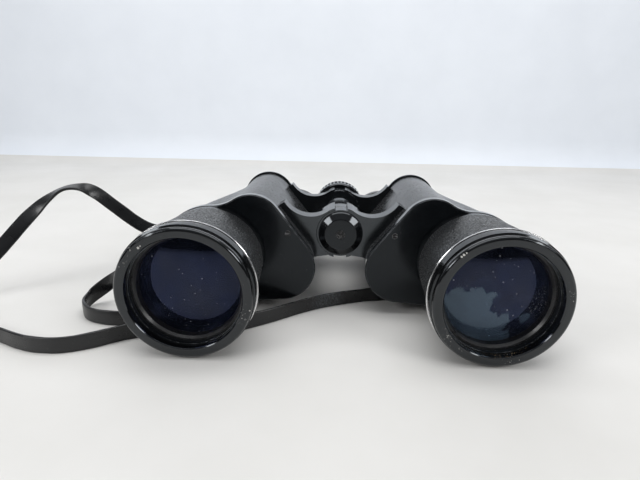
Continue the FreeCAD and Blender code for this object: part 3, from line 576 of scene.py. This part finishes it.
MAKERS = (
    cast_black,
    cover_black,
    gloss_black,
    grained_skin,
    pebbled_skin,
    strap_vinyl,
    bright_trim,
    black_alloy,
    bright_steel,
    blackened_screw,
    spring_steel,
    thrust_brass,
    eyecup_plastic,
    coated_glass,
    prism_glass,
)
FINISHES = {maker.__name__: maker() for maker in MAKERS}


def wear(obj, slot):
    obj.data.materials.clear()
    obj.data.materials.append(FINISHES[slot])


for row in frame["record"]["subparts"]:
    wear(NODES[row["node"]], row["material_slot"])


def new_piece(name, points, faces, slot, smooth=None):
    """A new mesh object in the scene wearing one finish; smooth shading unless told face by face."""
    mesh = bpy.data.meshes.new(name)
    mesh.from_pydata(points, [], faces)
    mesh.update()
    smooth = np.ones(len(mesh.polygons), bool) if smooth is None else smooth
    mesh.polygons.foreach_set("use_smooth", smooth)
    mesh.materials.append(FINISHES[slot])
    obj = bpy.data.objects.new(name, mesh)
    bpy.context.scene.collection.objects.link(obj)
    return obj


# ---- relief for leatherette ------------------------------------------------------------------


def pebbles(u, v, size, columns, seed):
    """Distances to the two nearest scattered points, in cells; u repeats after columns cells."""
    random = np.random.default_rng(seed)
    rows = int(np.ceil(v.max() / size)) + 4
    scatter = random.random((columns, rows, 2))
    a = u / size
    b = v / size + 1.5
    column = np.floor(a).astype(int)
    row = np.floor(b).astype(int)
    nearest = np.full(u.shape, 9.0)
    second = np.full(u.shape, 9.0)
    for i in (-1, 0, 1):
        for j in (-1, 0, 1):
            point = scatter[(column + i) % columns, np.clip(row + j, 0, rows - 1)]
            away = np.hypot(column + i + point[..., 0] - a, row + j + point[..., 1] - b)
            closer = away < nearest
            second = np.where(closer, nearest, np.minimum(second, away))
            nearest = np.where(closer, away, nearest)
    return nearest, second


def drift(u, v, size, columns, seed):
    """Smooth noise from 0 to 1; u repeats after columns cells."""
    random = np.random.default_rng(seed)
    rows = int(np.ceil(v.max() / size)) + 3
    lattice = random.random((columns, rows))
    a = u / size
    b = v / size + 0.5
    column = np.floor(a).astype(int)
    row = np.floor(b).astype(int)
    s = a - column
    t = b - row
    s = s * s * (3 - 2 * s)
    t = t * t * (3 - 2 * t)

    def corner(i, j):
        return lattice[(column + i) % columns, np.clip(row + j, 0, rows - 1)]

    low = corner(0, 0) * (1 - s) + corner(1, 0) * s
    high = corner(0, 1) * (1 - s) + corner(1, 1) * s
    return low * (1 - t) + high * t


def grain(u, v, size, around, seed):
    """Leather relief from 0 (valley) to 1 (top), over a wrapped sheet."""
    columns = max(3, round(around / size))
    cell = around / columns
    nearest, second = pebbles(u, v, cell, columns, seed)
    ridge = np.clip((second - nearest) * 2.2, 0, 1)
    dome = ridge * (2 - ridge)
    fine_columns = columns * 3
    fine = drift(u, v, around / fine_columns, fine_columns, seed + 1)
    broad_columns = max(3, columns // 4)
    broad = drift(u, v, around / broad_columns, broad_columns, seed + 2)
    return np.clip(dome * (0.62 + 0.38 * broad) + 0.22 * (fine - 0.5), 0, 1)


def wrapped_sheet(name, rings, inner, relief, slot):
    """A closed sheet from its outer rings of points and the first and last rings of its inside."""
    rows, around = rings.shape[:2]
    points = np.concatenate([rings.reshape(-1, 3), inner.reshape(-1, 3)])
    index = np.arange(rows * around).reshape(rows, around)
    first = rows * around + np.arange(around)
    last = first + around
    quads = []

    def band(a, b):
        quads.append(np.stack([a, np.roll(a, -1), np.roll(b, -1), b], axis=-1))

    for row in range(rows - 1):
        band(index[row], index[row + 1])
    band(index[-1], last)
    band(last, first)
    band(first, index[0])
    obj = new_piece(name, points.tolist(), np.concatenate(quads).tolist(), slot)
    attribute = obj.data.attributes.new("relief", "FLOAT", "POINT")
    values = np.concatenate([relief.ravel(), np.zeros(2 * around)])
    attribute.data.foreach_set("value", values.astype(np.float32))
    return obj


def facing_out(obj):
    """Turn the faces outwards if the sheet was built the other way round."""
    mesh = obj.data
    volume = 0.0
    for polygon in mesh.polygons:
        centre = polygon.center
        volume += centre.dot(polygon.normal) * polygon.area
    if volume < 0:
        mesh.flip_normals()
    return obj


# ---- pebbled covering of the objective tubes -----------------------------------------------
TUBE_STEP = 0.40
PEBBLE = 1.5
PEBBLE_DEPTH = 0.36
TUBE_SKIN = 0.9


def rim_radius(node, y):
    """Largest distance of the node's points at that y from the objective axis."""
    co = np.array([v.co for v in NODES[node].data.vertices])
    side = math.copysign(1.0, co[:, 0].mean())
    near = co[np.abs(co[:, 1] - y) < 0.05 * MM]
    return float(np.hypot(near[:, 0] - side * OBJECTIVE_X, near[:, 2] - OBJECTIVE_Z).max())


def tube_skin(side, sign, seed):
    """Pebbled sleeve round one objective tube, its edges trimmed a little unevenly."""
    node = side + "_tube_covering"
    low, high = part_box(node)
    front_r = rim_radius(node, low.y)
    back_r = rim_radius(node, high.y)
    length = high.y - low.y
    girth = 2 * math.pi * front_r
    around = round(girth / (TUBE_STEP * MM))
    rows = round(length / (TUBE_STEP * MM))
    angle = np.arange(around) * 2 * math.pi / around
    share = np.linspace(0, 1, rows + 1)
    u, v = np.meshgrid(angle * front_r, share * length)
    relief = grain(u, v, PEBBLE * MM, girth, seed)
    edge = np.minimum(v, length - v) / (1.6 * MM)
    fade = np.clip(edge, 0, 1)
    curl = drift(u, v * 0, 5 * MM, round(girth / (5 * MM)), seed + 5)
    lift = 0.35 * MM * np.clip(1 - (length - v) / (3.0 * MM), 0, 1) * np.clip(curl * 2 - 0.8, 0, 1)
    radius = front_r + (back_r - front_r) * v / length
    radius = radius + lift + PEBBLE_DEPTH * MM * (relief - 0.75) * (0.25 + 0.75 * fade)
    trim = 0.5 * MM * (drift(u, v * 0, 3 * MM, round(girth / (3 * MM)), seed + 7) - 0.9)
    y = low.y + v + np.where(v > length / 2, trim * (v / length), -0.2 * trim * (1 - v / length))
    x = sign * OBJECTIVE_X + radius * np.cos(angle)
    rings = np.stack([x, y, OBJECTIVE_Z + radius * np.sin(angle)], axis=-1)
    inner = []
    for row, rim in ((0, front_r), (-1, back_r)):
        bore = rim - TUBE_SKIN * MM
        bore_x = sign * OBJECTIVE_X + bore * np.cos(angle)
        inner.append(np.stack([bore_x, y[row], OBJECTIVE_Z + bore * np.sin(angle)], axis=-1))
    obj = wrapped_sheet(side + "_pebbled_leatherette", rings, np.array(inner), relief, "pebbled_skin")
    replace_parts(facing_out(obj), node)
    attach(obj, side + "_half")


# ---- fine-grained covering of the prism housings -------------------------------------------
HOUSING_STEP = 0.5
HOUSING_GRAIN = 0.85
HOUSING_DEPTH = 0.045
HOUSING_SKIN = 0.75

# The outer shoulder slopes down to the rear beside the round top lobe: millimetres from the hinge
# axis, and the direction in which the slope faces.
TOP_LOBE = (47.1, 7.0)
TOP_LOBE_R = 15.45
SHOULDER_HEADING = math.radians(60)
EDGE_SOFTNESS = 0.8
LOBE_SOFTNESS = 0.6
SLOPE_FADE = 0.03


def front_outline(node):
    """The outer outline of the covering's front end, walked point by point."""
    mesh = NODES[node].data
    low_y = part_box(node)[0].y
    places = {}
    links = {}

    def key(vertex):
        return (round(vertex.co.x / (0.01 * MM)), round(vertex.co.z / (0.01 * MM)))

    seen = {}
    for polygon in mesh.polygons:
        corners = [mesh.vertices[i] for i in polygon.vertices]
        at_front = [abs(v.co.y - low_y) < 0.01 * MM for v in corners]
        if all(at_front):
            for i, vertex in enumerate(corners):
                follow = corners[(i + 1) % len(corners)]
                pair = frozenset((key(vertex), key(follow)))
                seen[pair] = seen.get(pair, 0) + 1
                places[key(vertex)] = (vertex.co.x, vertex.co.z)
    for pair, count in seen.items():
        if count == 1 and len(pair) == 2:
            a, b = pair
            links.setdefault(a, []).append(b)
            links.setdefault(b, []).append(a)
    loops = []
    left = set(links)
    while left:
        start = min(left)
        loop = [start]
        left.discard(start)
        while True:
            ahead = [k for k in links[loop[-1]] if k in left]
            if not ahead:
                break
            loop.append(ahead[0])
            left.discard(ahead[0])
        loops.append(np.array([places[k] for k in loop]))
    return max(loops, key=lambda loop: np.ptp(loop[:, 0]))


def resampled(loop, step, blur):
    """Evenly spaced points on a closed outline, softened over a few samples to lose its facets."""
    closed = np.vstack([loop, loop[:1]])
    run = np.concatenate([[0], np.cumsum(np.hypot(*np.diff(closed, axis=0).T))])
    count = round(run[-1] / step)
    spots = np.arange(count) * run[-1] / count
    even = np.stack([np.interp(spots, run, closed[:, i]) for i in (0, 1)], axis=-1)
    reach = int(4 * blur)
    shifts = range(-reach, reach + 1)
    weights = np.exp(-0.5 * (np.array(shifts) / blur) ** 2)
    weights /= weights.sum()
    smooth = sum(w * np.roll(even, shift, axis=0) for w, shift in zip(weights, shifts))
    return smooth, run[-1]


def shoulder_crest(node, sign, y):
    """How far the covering reaches in the slope's direction at that y, beside the top lobe."""
    co = np.array([v.co for v in NODES[node].data.vertices])
    end = co[np.abs(co[:, 1] - y) < 0.05 * MM]
    beside = np.hypot(end[:, 0] - sign * TOP_LOBE[0] * MM, end[:, 2] - TOP_LOBE[1] * MM)
    end = end[beside > (TOP_LOBE_R + 0.5) * MM]
    up = (sign * math.cos(SHOULDER_HEADING), math.sin(SHOULDER_HEADING))
    return (end[:, [0, 2]] @ up).max()


def sloped_shoulder(node, sign, x, z, outward, share):
    """Bring the outer shoulder down to the part's slope, from share 0 in front to 1 behind."""
    low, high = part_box(node)
    front = shoulder_crest(node, sign, low.y)
    back = shoulder_crest(node, sign, high.y)
    up = (sign * math.cos(SHOULDER_HEADING), math.sin(SHOULDER_HEADING))
    over = x * up[0] + z * up[1] - front - (back - front) * share
    reach = np.hypot(over, EDGE_SOFTNESS * MM)
    fade = np.clip(share / SLOPE_FADE, 0, 1)
    # the top lobe stays round
    lobe_x = sign * TOP_LOBE[0] * MM
    lobe_z = TOP_LOBE[1] * MM
    lobe_r = TOP_LOBE_R * MM
    beside = np.hypot(x - lobe_x, z - lobe_z) - lobe_r
    part = np.clip(beside / (LOBE_SOFTNESS * MM), 0, 1)
    fade = fade * part * part * (3 - 2 * part)
    down = 0.5 * (over + reach) * fade
    x = x - up[0] * down
    z = z - up[1] * down
    away = np.hypot(x - lobe_x, z - lobe_z)
    push = np.where((away < lobe_r) & (beside > 0), lobe_r / away, 1.0)
    x = lobe_x + (x - lobe_x) * push
    z = lobe_z + (z - lobe_z) * push
    blend = 0.5 * (1 + over / reach) * fade
    out_x, out_z = (outward[i] * (1 - blend) + up[i] * blend for i in (0, 1))
    length = np.hypot(out_x, out_z)
    return x, z, out_x / length, out_z / length


def housing_skin(side, sign, seed):
    """Grained sheet round one prism housing; it runs on inside the hinge arms and the strap lug."""
    node = side + "_housing_covering"
    low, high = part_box(node)
    outline, girth = resampled(front_outline(node), HOUSING_STEP * MM, 2.6)
    around = len(outline)
    ahead = np.roll(outline, -1, axis=0) - np.roll(outline, 1, axis=0)
    ahead /= np.hypot(*ahead.T)[:, None]
    after = np.roll(outline, -1, axis=0)
    area = np.sum(outline[:, 0] * after[:, 1] - after[:, 0] * outline[:, 1])
    outward = np.stack([ahead[:, 1], -ahead[:, 0]], axis=-1) * math.copysign(1.0, area)
    length = high.y - low.y
    rows = round(length / (HOUSING_STEP * MM))
    u, v = np.meshgrid(np.arange(around) * girth / around, np.linspace(0, length, rows + 1))
    relief = grain(u, v, HOUSING_GRAIN * MM, girth, seed)
    fade = np.clip(np.minimum(v, length - v) / (1.0 * MM), 0, 1)
    rise = HOUSING_DEPTH * MM * (relief - 0.7) * (0.3 + 0.7 * fade)
    rise = rise - 0.25 * MM * (1 - fade) ** 2
    flat = [np.broadcast_to(outline[:, i], u.shape) for i in (0, 1)]
    normal = [np.broadcast_to(outward[:, i], u.shape) for i in (0, 1)]
    x, z, out_x, out_z = sloped_shoulder(node, sign, *flat, normal, v / length)
    rings = np.stack([x + out_x * rise, low.y + v, z + out_z * rise], axis=-1)
    skin = HOUSING_SKIN * MM
    inner = []
    for row, y in ((0, low.y), (-1, high.y)):
        ends = (x[row] - out_x[row] * skin, np.full(around, y), z[row] - out_z[row] * skin)
        inner.append(np.stack(ends, axis=-1))
    obj = wrapped_sheet(side + "_grained_leatherette", rings, np.array(inner), relief, "grained_skin")
    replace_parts(facing_out(obj), node)
    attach(obj, side + "_half")


# ---- neck strap ----------------------------------------------------------------------------
EDGEWISE = (0, 0, 1)
FLAT = (0.15, 1, 0)
IN_SLOT = (0, 1, 0)

# Millimetres along the strap's middle line, each with the direction of its width. The strap runs
# from its tail under the right tube, round a small loop and up through the right lug, over an
# arch, round a wide loop on the table and under the hinge to the left lug.
STRAP_LINE = [
    ((-87, -28.5, -37.6), EDGEWISE),
    ((-101, -31, -37.6), EDGEWISE),
    ((-116, -32.5, -37.6), EDGEWISE),
    ((-129, -28.5, -37.6), EDGEWISE),
    ((-136.5, -19, -37.3), EDGEWISE),
    ((-136, -9.5, -35.5), EDGEWISE),
    ((-127, -8, -28.5), (0.2, 0, 1)),
    ((-114.5, -15, -19.5), (0.2, 0, 1)),
    ((-104.5, -15, -13.5), (0, 0, 1)),
    ((-101.5, 4, -15), (0, 0.2, 1)),
    ((-102, 24, -25), (0, 0.7, 0.7)),
    ((-101.2, 38, -29), (0, 1, 0.25)),
    ((-100.2, 45.5, -23), IN_SLOT),
    ((-100.2, 46, -15), IN_SLOT),
    ((-101.5, 46, -9.4), (0, 1, 0.1)),
    ((-106.5, 45.4, -9.6), (0.1, 0.95, 0.2)),
    ((-113.5, 44.8, -12.8), (0.25, 0.7, 0.6)),
    ((-122.5, 44, -12.4), (0.4, 0.5, 0.75)),
    ((-132.8, 43, -6.2), (0.5, 0.4, 0.75)),
    ((-143.8, 41, 3.8), (0.5, 0.4, 0.75)),
    ((-153, 38.3, 12.2), (0.4, 0.6, 0.65)),
    ((-160, 35.3, 15.9), (0.15, 0.95, 0.2)),
    ((-168, 31, 15.7), (-0.15, 1, 0.1)),
    ((-175.5, 26.5, 10.9), (-0.4, 0.75, 0.35)),
    ((-182.7, 21, 3.3), (-0.65, 0.3, 0.6)),
    ((-189.3, 13.5, -5.7), (-0.6, 0.15, 0.75)),
    ((-195.9, 6, -15.5), (-0.45, 0.1, 0.85)),
    ((-203.4, -2.5, -24.6), (-0.25, 0.05, 0.95)),
    ((-212.5, -13, -32), (-0.1, 0, 1)),
    ((-220.5, -24, -36.6), EDGEWISE),
    ((-221.5, -36, -37.6), EDGEWISE),
    ((-210, -42.5, -37.6), EDGEWISE),
    ((-192.4, -42, -37.6), EDGEWISE),
    ((-174, -46, -37.6), EDGEWISE),
    ((-158.7, -52.6, -37.6), EDGEWISE),
    ((-147.5, -57.6, -37.6), EDGEWISE),
    ((-137.5, -60.2, -37.6), EDGEWISE),
    ((-126.2, -60, -37.6), EDGEWISE),
    ((-115.5, -55.5, -37.6), EDGEWISE),
    ((-104, -47.3, -37.6), EDGEWISE),
    ((-94, -42.3, -37.7), (0, 0.25, 1)),
    ((-83, -38.8, -39.2), (0.1, 0.9, 0.6)),
    ((-76, -37.3, -40.5), (0.15, 1, 0.1)),
    ((-68, -36.3, -40.65), FLAT),
    ((-60, -35.2, -40.5), (0.15, 1, 0.1)),
    ((-54, -34, -39.2), (0.1, 0.9, 0.6)),
    ((-46, -31, -37.7), (0, 0.25, 1)),
    ((-35.5, -24.5, -37.6), EDGEWISE),
    ((-21, -13, -37.6), EDGEWISE),
    ((-9, -5, -37.6), EDGEWISE),
    ((3, 0.5, -37.6), EDGEWISE),
    ((15, 5, -37.6), EDGEWISE),
    ((22, 7.5, -37.8), (-0.1, 0.4, 1)),
    ((31, 10.5, -38.9), (-0.2, 1, 0.75)),
    ((42, 14, -40.4), (-0.25, 1, 0.15)),
    ((56, 19, -40.65), (-0.3, 1, 0)),
    ((70, 25, -40.65), (-0.4, 1, 0)),
    ((84, 33, -40.4), (-0.5, 1, 0.05)),
    ((94, 40.5, -37.8), (-0.3, 1, 0.1)),
    ((99.2, 45, -30), (-0.05, 1, 0.05)),
    ((100.2, 46, -22), IN_SLOT),
    ((100.2, 46, -15), IN_SLOT),
    ((100.5, 46, -9.6), IN_SLOT),
    ((103.3, 46, -6.9), IN_SLOT),
    ((106.1, 46, -9.8), IN_SLOT),
    ((106.5, 46.2, -16), IN_SLOT),
    ((106.2, 46.6, -23), IN_SLOT),
    ((105.2, 47, -29), IN_SLOT),
]
STRAP_W = 8.0
STRAP_T = 1.7
STRAP_SPAN_STEPS = 9


def strap_section():
    """Round edges, slightly domed faces and a pressed line along each edge, as (across, up) pairs."""
    half_w = STRAP_W / 2
    half_t = STRAP_T / 2
    face = []
    steps = 16
    for i in range(steps + 1):
        across = (1 - 2 * i / steps) * (half_w - 0.55 * half_t)
        dome = 1 - 0.10 * (across / half_w) ** 2
        pressed = 0.10 * math.exp(-(((abs(across) - 0.74 * half_w) / 0.22) ** 2))
        face.append((across, half_t * dome - pressed))
    edge = []
    for i in range(1, 6):
        turn = math.pi / 2 - math.pi * i / 6
        start = face[-1]
        edge.append((start[0] - 0.55 * half_t * math.cos(turn), start[1] * math.sin(turn)))
    under = [(-a, -b) for a, b in face]
    far_edge = [(-a, -b) for a, b in edge]
    return face + edge + under + far_edge


def along_curve(points, steps):
    """Catmull-Rom through the points; every item is a flat tuple of numbers."""
    data = np.array([list(centre) + list(width) for centre, width in points], float)
    last = len(data) - 1
    made = []
    for index in range(last):
        p, q, r, s = (data[max(0, min(last, index + shift))] for shift in (-1, 0, 1, 2))
        for step in range(steps):
            t = step / steps
            square = 2 * p - 5 * q + 4 * r - s
            cube = 3 * q - p - 3 * r + s
            made.append(0.5 * (2 * q + (r - p) * t + square * t**2 + cube * t**3))
    made.append(data[-1])
    return np.array(made)


def neck_strap():
    """One continuous vinyl strap, passing under the hinge from one half to the other."""
    rows = along_curve(STRAP_LINE, STRAP_SPAN_STEPS)
    centres = rows[:, :3]
    widths = rows[:, 3:]
    tangent = np.gradient(centres, axis=0)
    tangent /= np.linalg.norm(tangent, axis=1)[:, None]
    side = widths - tangent * np.sum(widths * tangent, axis=1)[:, None]
    side /= np.linalg.norm(side, axis=1)[:, None]
    normal = np.cross(tangent, side)
    section = np.array(strap_section())
    run = np.concatenate([[0], np.cumsum(np.linalg.norm(np.diff(centres, axis=0), axis=1))])
    random = np.random.default_rng(11)
    knots = np.arange(0, run[-1] + 12, 6.0)
    swell = np.interp(run, knots, random.uniform(-0.05, 0.05, len(knots)))
    sway = np.interp(run, knots, random.uniform(-0.12, 0.12, len(knots)))
    across = section[None, :, 0] * (1 + 0.3 * swell[:, None]) + sway[:, None]
    up = section[None, :, 1] * (1 + swell[:, None])
    points = centres[:, None, :] + across[..., None] * side[:, None, :]
    points = points + up[..., None] * normal[:, None, :]
    sunk = TABLE_Z / MM + 0.03 - points[..., 2].min(axis=1)
    points[..., 2] += np.maximum(sunk, 0)[:, None]
    count, around = points.shape[:2]
    index = np.arange(count * around).reshape(count, around)
    quads = []
    for row in range(count - 1):
        a, b = index[row], index[row + 1]
        quads.extend(np.stack([a, np.roll(a, -1), np.roll(b, -1), b], axis=-1).tolist())
    quads.append(index[0][::-1].tolist())
    quads.append(index[-1].tolist())
    corners = (points.reshape(-1, 3) * MM).tolist()
    obj = new_piece("neck_strap_vinyl", corners, quads, "strap_vinyl")
    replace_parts(facing_out(obj), "neck_strap", "neck_strap_left_end")
    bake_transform(obj)


# ---- front lenses --------------------------------------------------------------------------
LENS_RINGS = 14
LENS_AROUND = 96


def lens_surface(centre_x, vertex, edge, radius, faces, base, turned):
    """Points of one spherical lens surface from its vertex out; its faces are added to the list."""
    sag = edge - vertex
    curve = (radius**2 + sag**2) / (2 * abs(sag))
    turn = np.arange(LENS_AROUND) * 2 * math.pi / LENS_AROUND
    points = [(centre_x, vertex, OBJECTIVE_Z)]
    for part in np.linspace(0, 1, LENS_RINGS + 1)[1:]:
        r = radius * part
        y = vertex + math.copysign(curve - math.sqrt(curve**2 - r**2), sag)
        points += [(centre_x + r * math.cos(t), y, OBJECTIVE_Z + r * math.sin(t)) for t in turn]
    for k in range(LENS_AROUND):
        after = (k + 1) % LENS_AROUND
        fan = [base, base + 1 + k, base + 1 + after]
        faces.append(fan[::-1] if turned else fan)
        for ring in range(LENS_RINGS - 1):
            a = base + 1 + ring * LENS_AROUND
            b = a + LENS_AROUND
            quad = [a + k, b + k, b + after, a + after]
            faces.append(quad[::-1] if turned else quad)
    return points


def crown_lens(side, sign):
    """The front lens turned with a fine mesh, its curves measured from the part."""
    node = side + "_objective_crown_lens"
    low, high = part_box(node)
    radius = (high.x - low.x) / 2
    centre_x = sign * OBJECTIVE_X
    co = np.array([v.co for v in NODES[node].data.vertices])
    reach = np.hypot(co[:, 0] - centre_x, co[:, 2] - OBJECTIVE_Z)
    rim = co[reach > radius - 0.02 * MM, 1]
    faces = []
    points = lens_surface(centre_x, low.y, rim.min(), radius, faces, 0, False)
    count = len(points)
    points += lens_surface(centre_x, high.y, rim.max(), radius, faces, count, True)
    smooth = np.ones(len(faces) + LENS_AROUND, bool)
    smooth[len(faces) :] = False
    front_rim = count - LENS_AROUND
    for k in range(LENS_AROUND):
        after = (k + 1) % LENS_AROUND
        front, front_after = front_rim + k, front_rim + after
        faces.append([front, count + front, count + front_after, front_after])
    obj = new_piece(side + "_crown_glass", points, faces, "coated_glass", smooth)
    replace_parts(facing_out(obj), node)
    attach(obj, side + "_half")


crown_lens("left", 1)
crown_lens("right", -1)
tube_skin("left", 1, 21)
tube_skin("right", -1, 31)
housing_skin("left", 1, 41)
housing_skin("right", -1, 51)
neck_strap()


# ---- floor, backdrop and light -------------------------------------------------------------
FLOOR_FRONT = -1.6
FLOOR_BACK = 0.57
FLOOR_HALF_WIDTH = 2.2
WALL_HEIGHT = 0.34
COVE_R = 0.05
COVE_STEPS = 8
ROOM_GLOW = 0.035
SKY_GLOW = 0.45


def stage_finish(name, low_colour, high_colour):
    finish = Finish(name)
    wide = finish.noise(90.0, 4.0, 0.55)
    shade = finish.tint(finish.span(wide, 0.3, 0.7), low_colour, high_colour)
    finish.set(Base_Color=shade, Roughness=0.6, Normal=finish.bump(finish.noise(5.0, 4.0, 0.6), 0.05))
    return finish.material


def backdrop():
    """Pale table top that turns up into a pale wall behind the object."""
    profile = [(FLOOR_FRONT, 0.0), (FLOOR_BACK - COVE_R, 0.0)]
    for step in range(1, COVE_STEPS + 1):
        turn = math.pi / 2 * step / COVE_STEPS
        profile.append((FLOOR_BACK - COVE_R * (1 - math.sin(turn)), COVE_R * (1 - math.cos(turn))))
    profile.append((FLOOR_BACK, WALL_HEIGHT))
    points = []
    for x in (-FLOOR_HALF_WIDTH, FLOOR_HALF_WIDTH):
        points += [(x, y, TABLE_Z + z) for y, z in profile]
    count = len(profile)
    faces = [(i, i + 1, count + i + 1, count + i) for i in range(count - 1)]
    mesh = bpy.data.meshes.new("backdrop")
    mesh.from_pydata(points, [], faces)
    mesh.polygons.foreach_set("use_smooth", np.ones(len(mesh.polygons), bool))
    mesh.materials.append(stage_finish("backdrop_floor", (0.70, 0.69, 0.665), (0.76, 0.75, 0.73)))
    mesh.materials.append(stage_finish("backdrop_wall", (0.82, 0.86, 0.92), (0.86, 0.90, 0.96)))
    for index, polygon in enumerate(mesh.polygons):
        polygon.material_index = 0 if index < COVE_STEPS / 2 else 1
    obj = bpy.data.objects.new("backdrop", mesh)
    bpy.context.scene.collection.objects.link(obj)


def softbox(name, place, aim, width, height, watts):
    light = bpy.data.lights.new(name, "AREA")
    light.shape = "RECTANGLE"
    light.size = width
    light.size_y = height
    light.energy = watts
    obj = bpy.data.objects.new(name, light)
    bpy.context.scene.collection.objects.link(obj)
    obj.location = place
    obj.rotation_mode = "QUATERNION"
    obj.rotation_quaternion = (Vector(aim) - Vector(place)).to_track_quat("-Z", "Y")


def ramp(tree, value, low, high, to_low=0.0, to_high=1.0):
    made = tree.nodes.new("ShaderNodeMapRange")
    ends = {"From Min": low, "From Max": high, "To Min": to_low, "To Max": to_high}
    for name, number in ends.items():
        made.inputs[name].default_value = number
    tree.links.new(value, made.inputs["Value"])
    return made.outputs[0]


def surroundings():
    """Dim room behind the camera, brighter overhead and towards the backdrop."""
    world = bpy.data.worlds.new("surroundings")
    world.use_nodes = True
    bpy.context.scene.world = world
    tree = world.node_tree
    tree.nodes.clear()
    place = tree.nodes.new("ShaderNodeTexCoord")
    parts = tree.nodes.new("ShaderNodeSeparateXYZ")
    tree.links.new(place.outputs["Generated"], parts.inputs[0])
    most = tree.nodes.new("ShaderNodeMath")
    most.operation = "MAXIMUM"
    tree.links.new(ramp(tree, parts.outputs["Y"], -0.5, 0.6), most.inputs[0])
    tree.links.new(ramp(tree, parts.outputs["Z"], 0.25, 0.95), most.inputs[1])
    back = tree.nodes.new("ShaderNodeBackground")
    back.inputs["Color"].default_value = (0.93, 0.96, 1.0, 1.0)
    glow = ramp(tree, most.outputs[0], 0.0, 1.0, ROOM_GLOW, SKY_GLOW)
    tree.links.new(glow, back.inputs["Strength"])
    out = tree.nodes.new("ShaderNodeOutputWorld")
    tree.links.new(back.outputs[0], out.inputs[0])


def camera():
    """Low camera in front of the objectives, looking slightly down."""
    place = Vector((-6.42, -241.15, 71.43)) * MM
    pitch = 0.30
    yaw = -0.02
    roll = 0.02
    ahead = Vector((math.sin(yaw) * math.cos(pitch), math.cos(yaw) * math.cos(pitch), -math.sin(pitch)))
    level = ahead.cross(Vector((0, 0, 1))).normalized()
    above = level.cross(ahead)
    right = level * math.cos(roll) + above * math.sin(roll)
    up = above * math.cos(roll) - level * math.sin(roll)
    turned = Matrix((right, up, -ahead)).transposed().to_4x4()
    data = bpy.data.cameras.new("camera")
    data.sensor_width = 36.0
    data.lens = 25.875
    data.clip_start = 0.01
    obj = bpy.data.objects.new("camera", data)
    bpy.context.scene.collection.objects.link(obj)
    obj.matrix_world = Matrix.Translation(place) @ turned
    bpy.context.scene.camera = obj


backdrop()
surroundings()
softbox("overhead", place=(0, 0, 0.95), aim=(0, 0.02, 0), width=1.1, height=0.6, watts=5.0)
softbox("above_backdrop", place=(0, 0.60, 0.44), aim=(0, 0, 0), width=1.8, height=0.22, watts=1.3)
softbox("wall_wash", place=(0, 0.12, 0.80), aim=(0, 0.60, 0.15), width=1.4, height=0.15, watts=1.3)
for name, x in (("window_left", -0.76), ("window_right", 0.76)):
    softbox(name, place=(x, -0.56, 0.47), aim=(0, 0, 0), width=0.42, height=0.34, watts=3.6)
camera()
bpy.context.scene.view_settings.view_transform = "Standard"
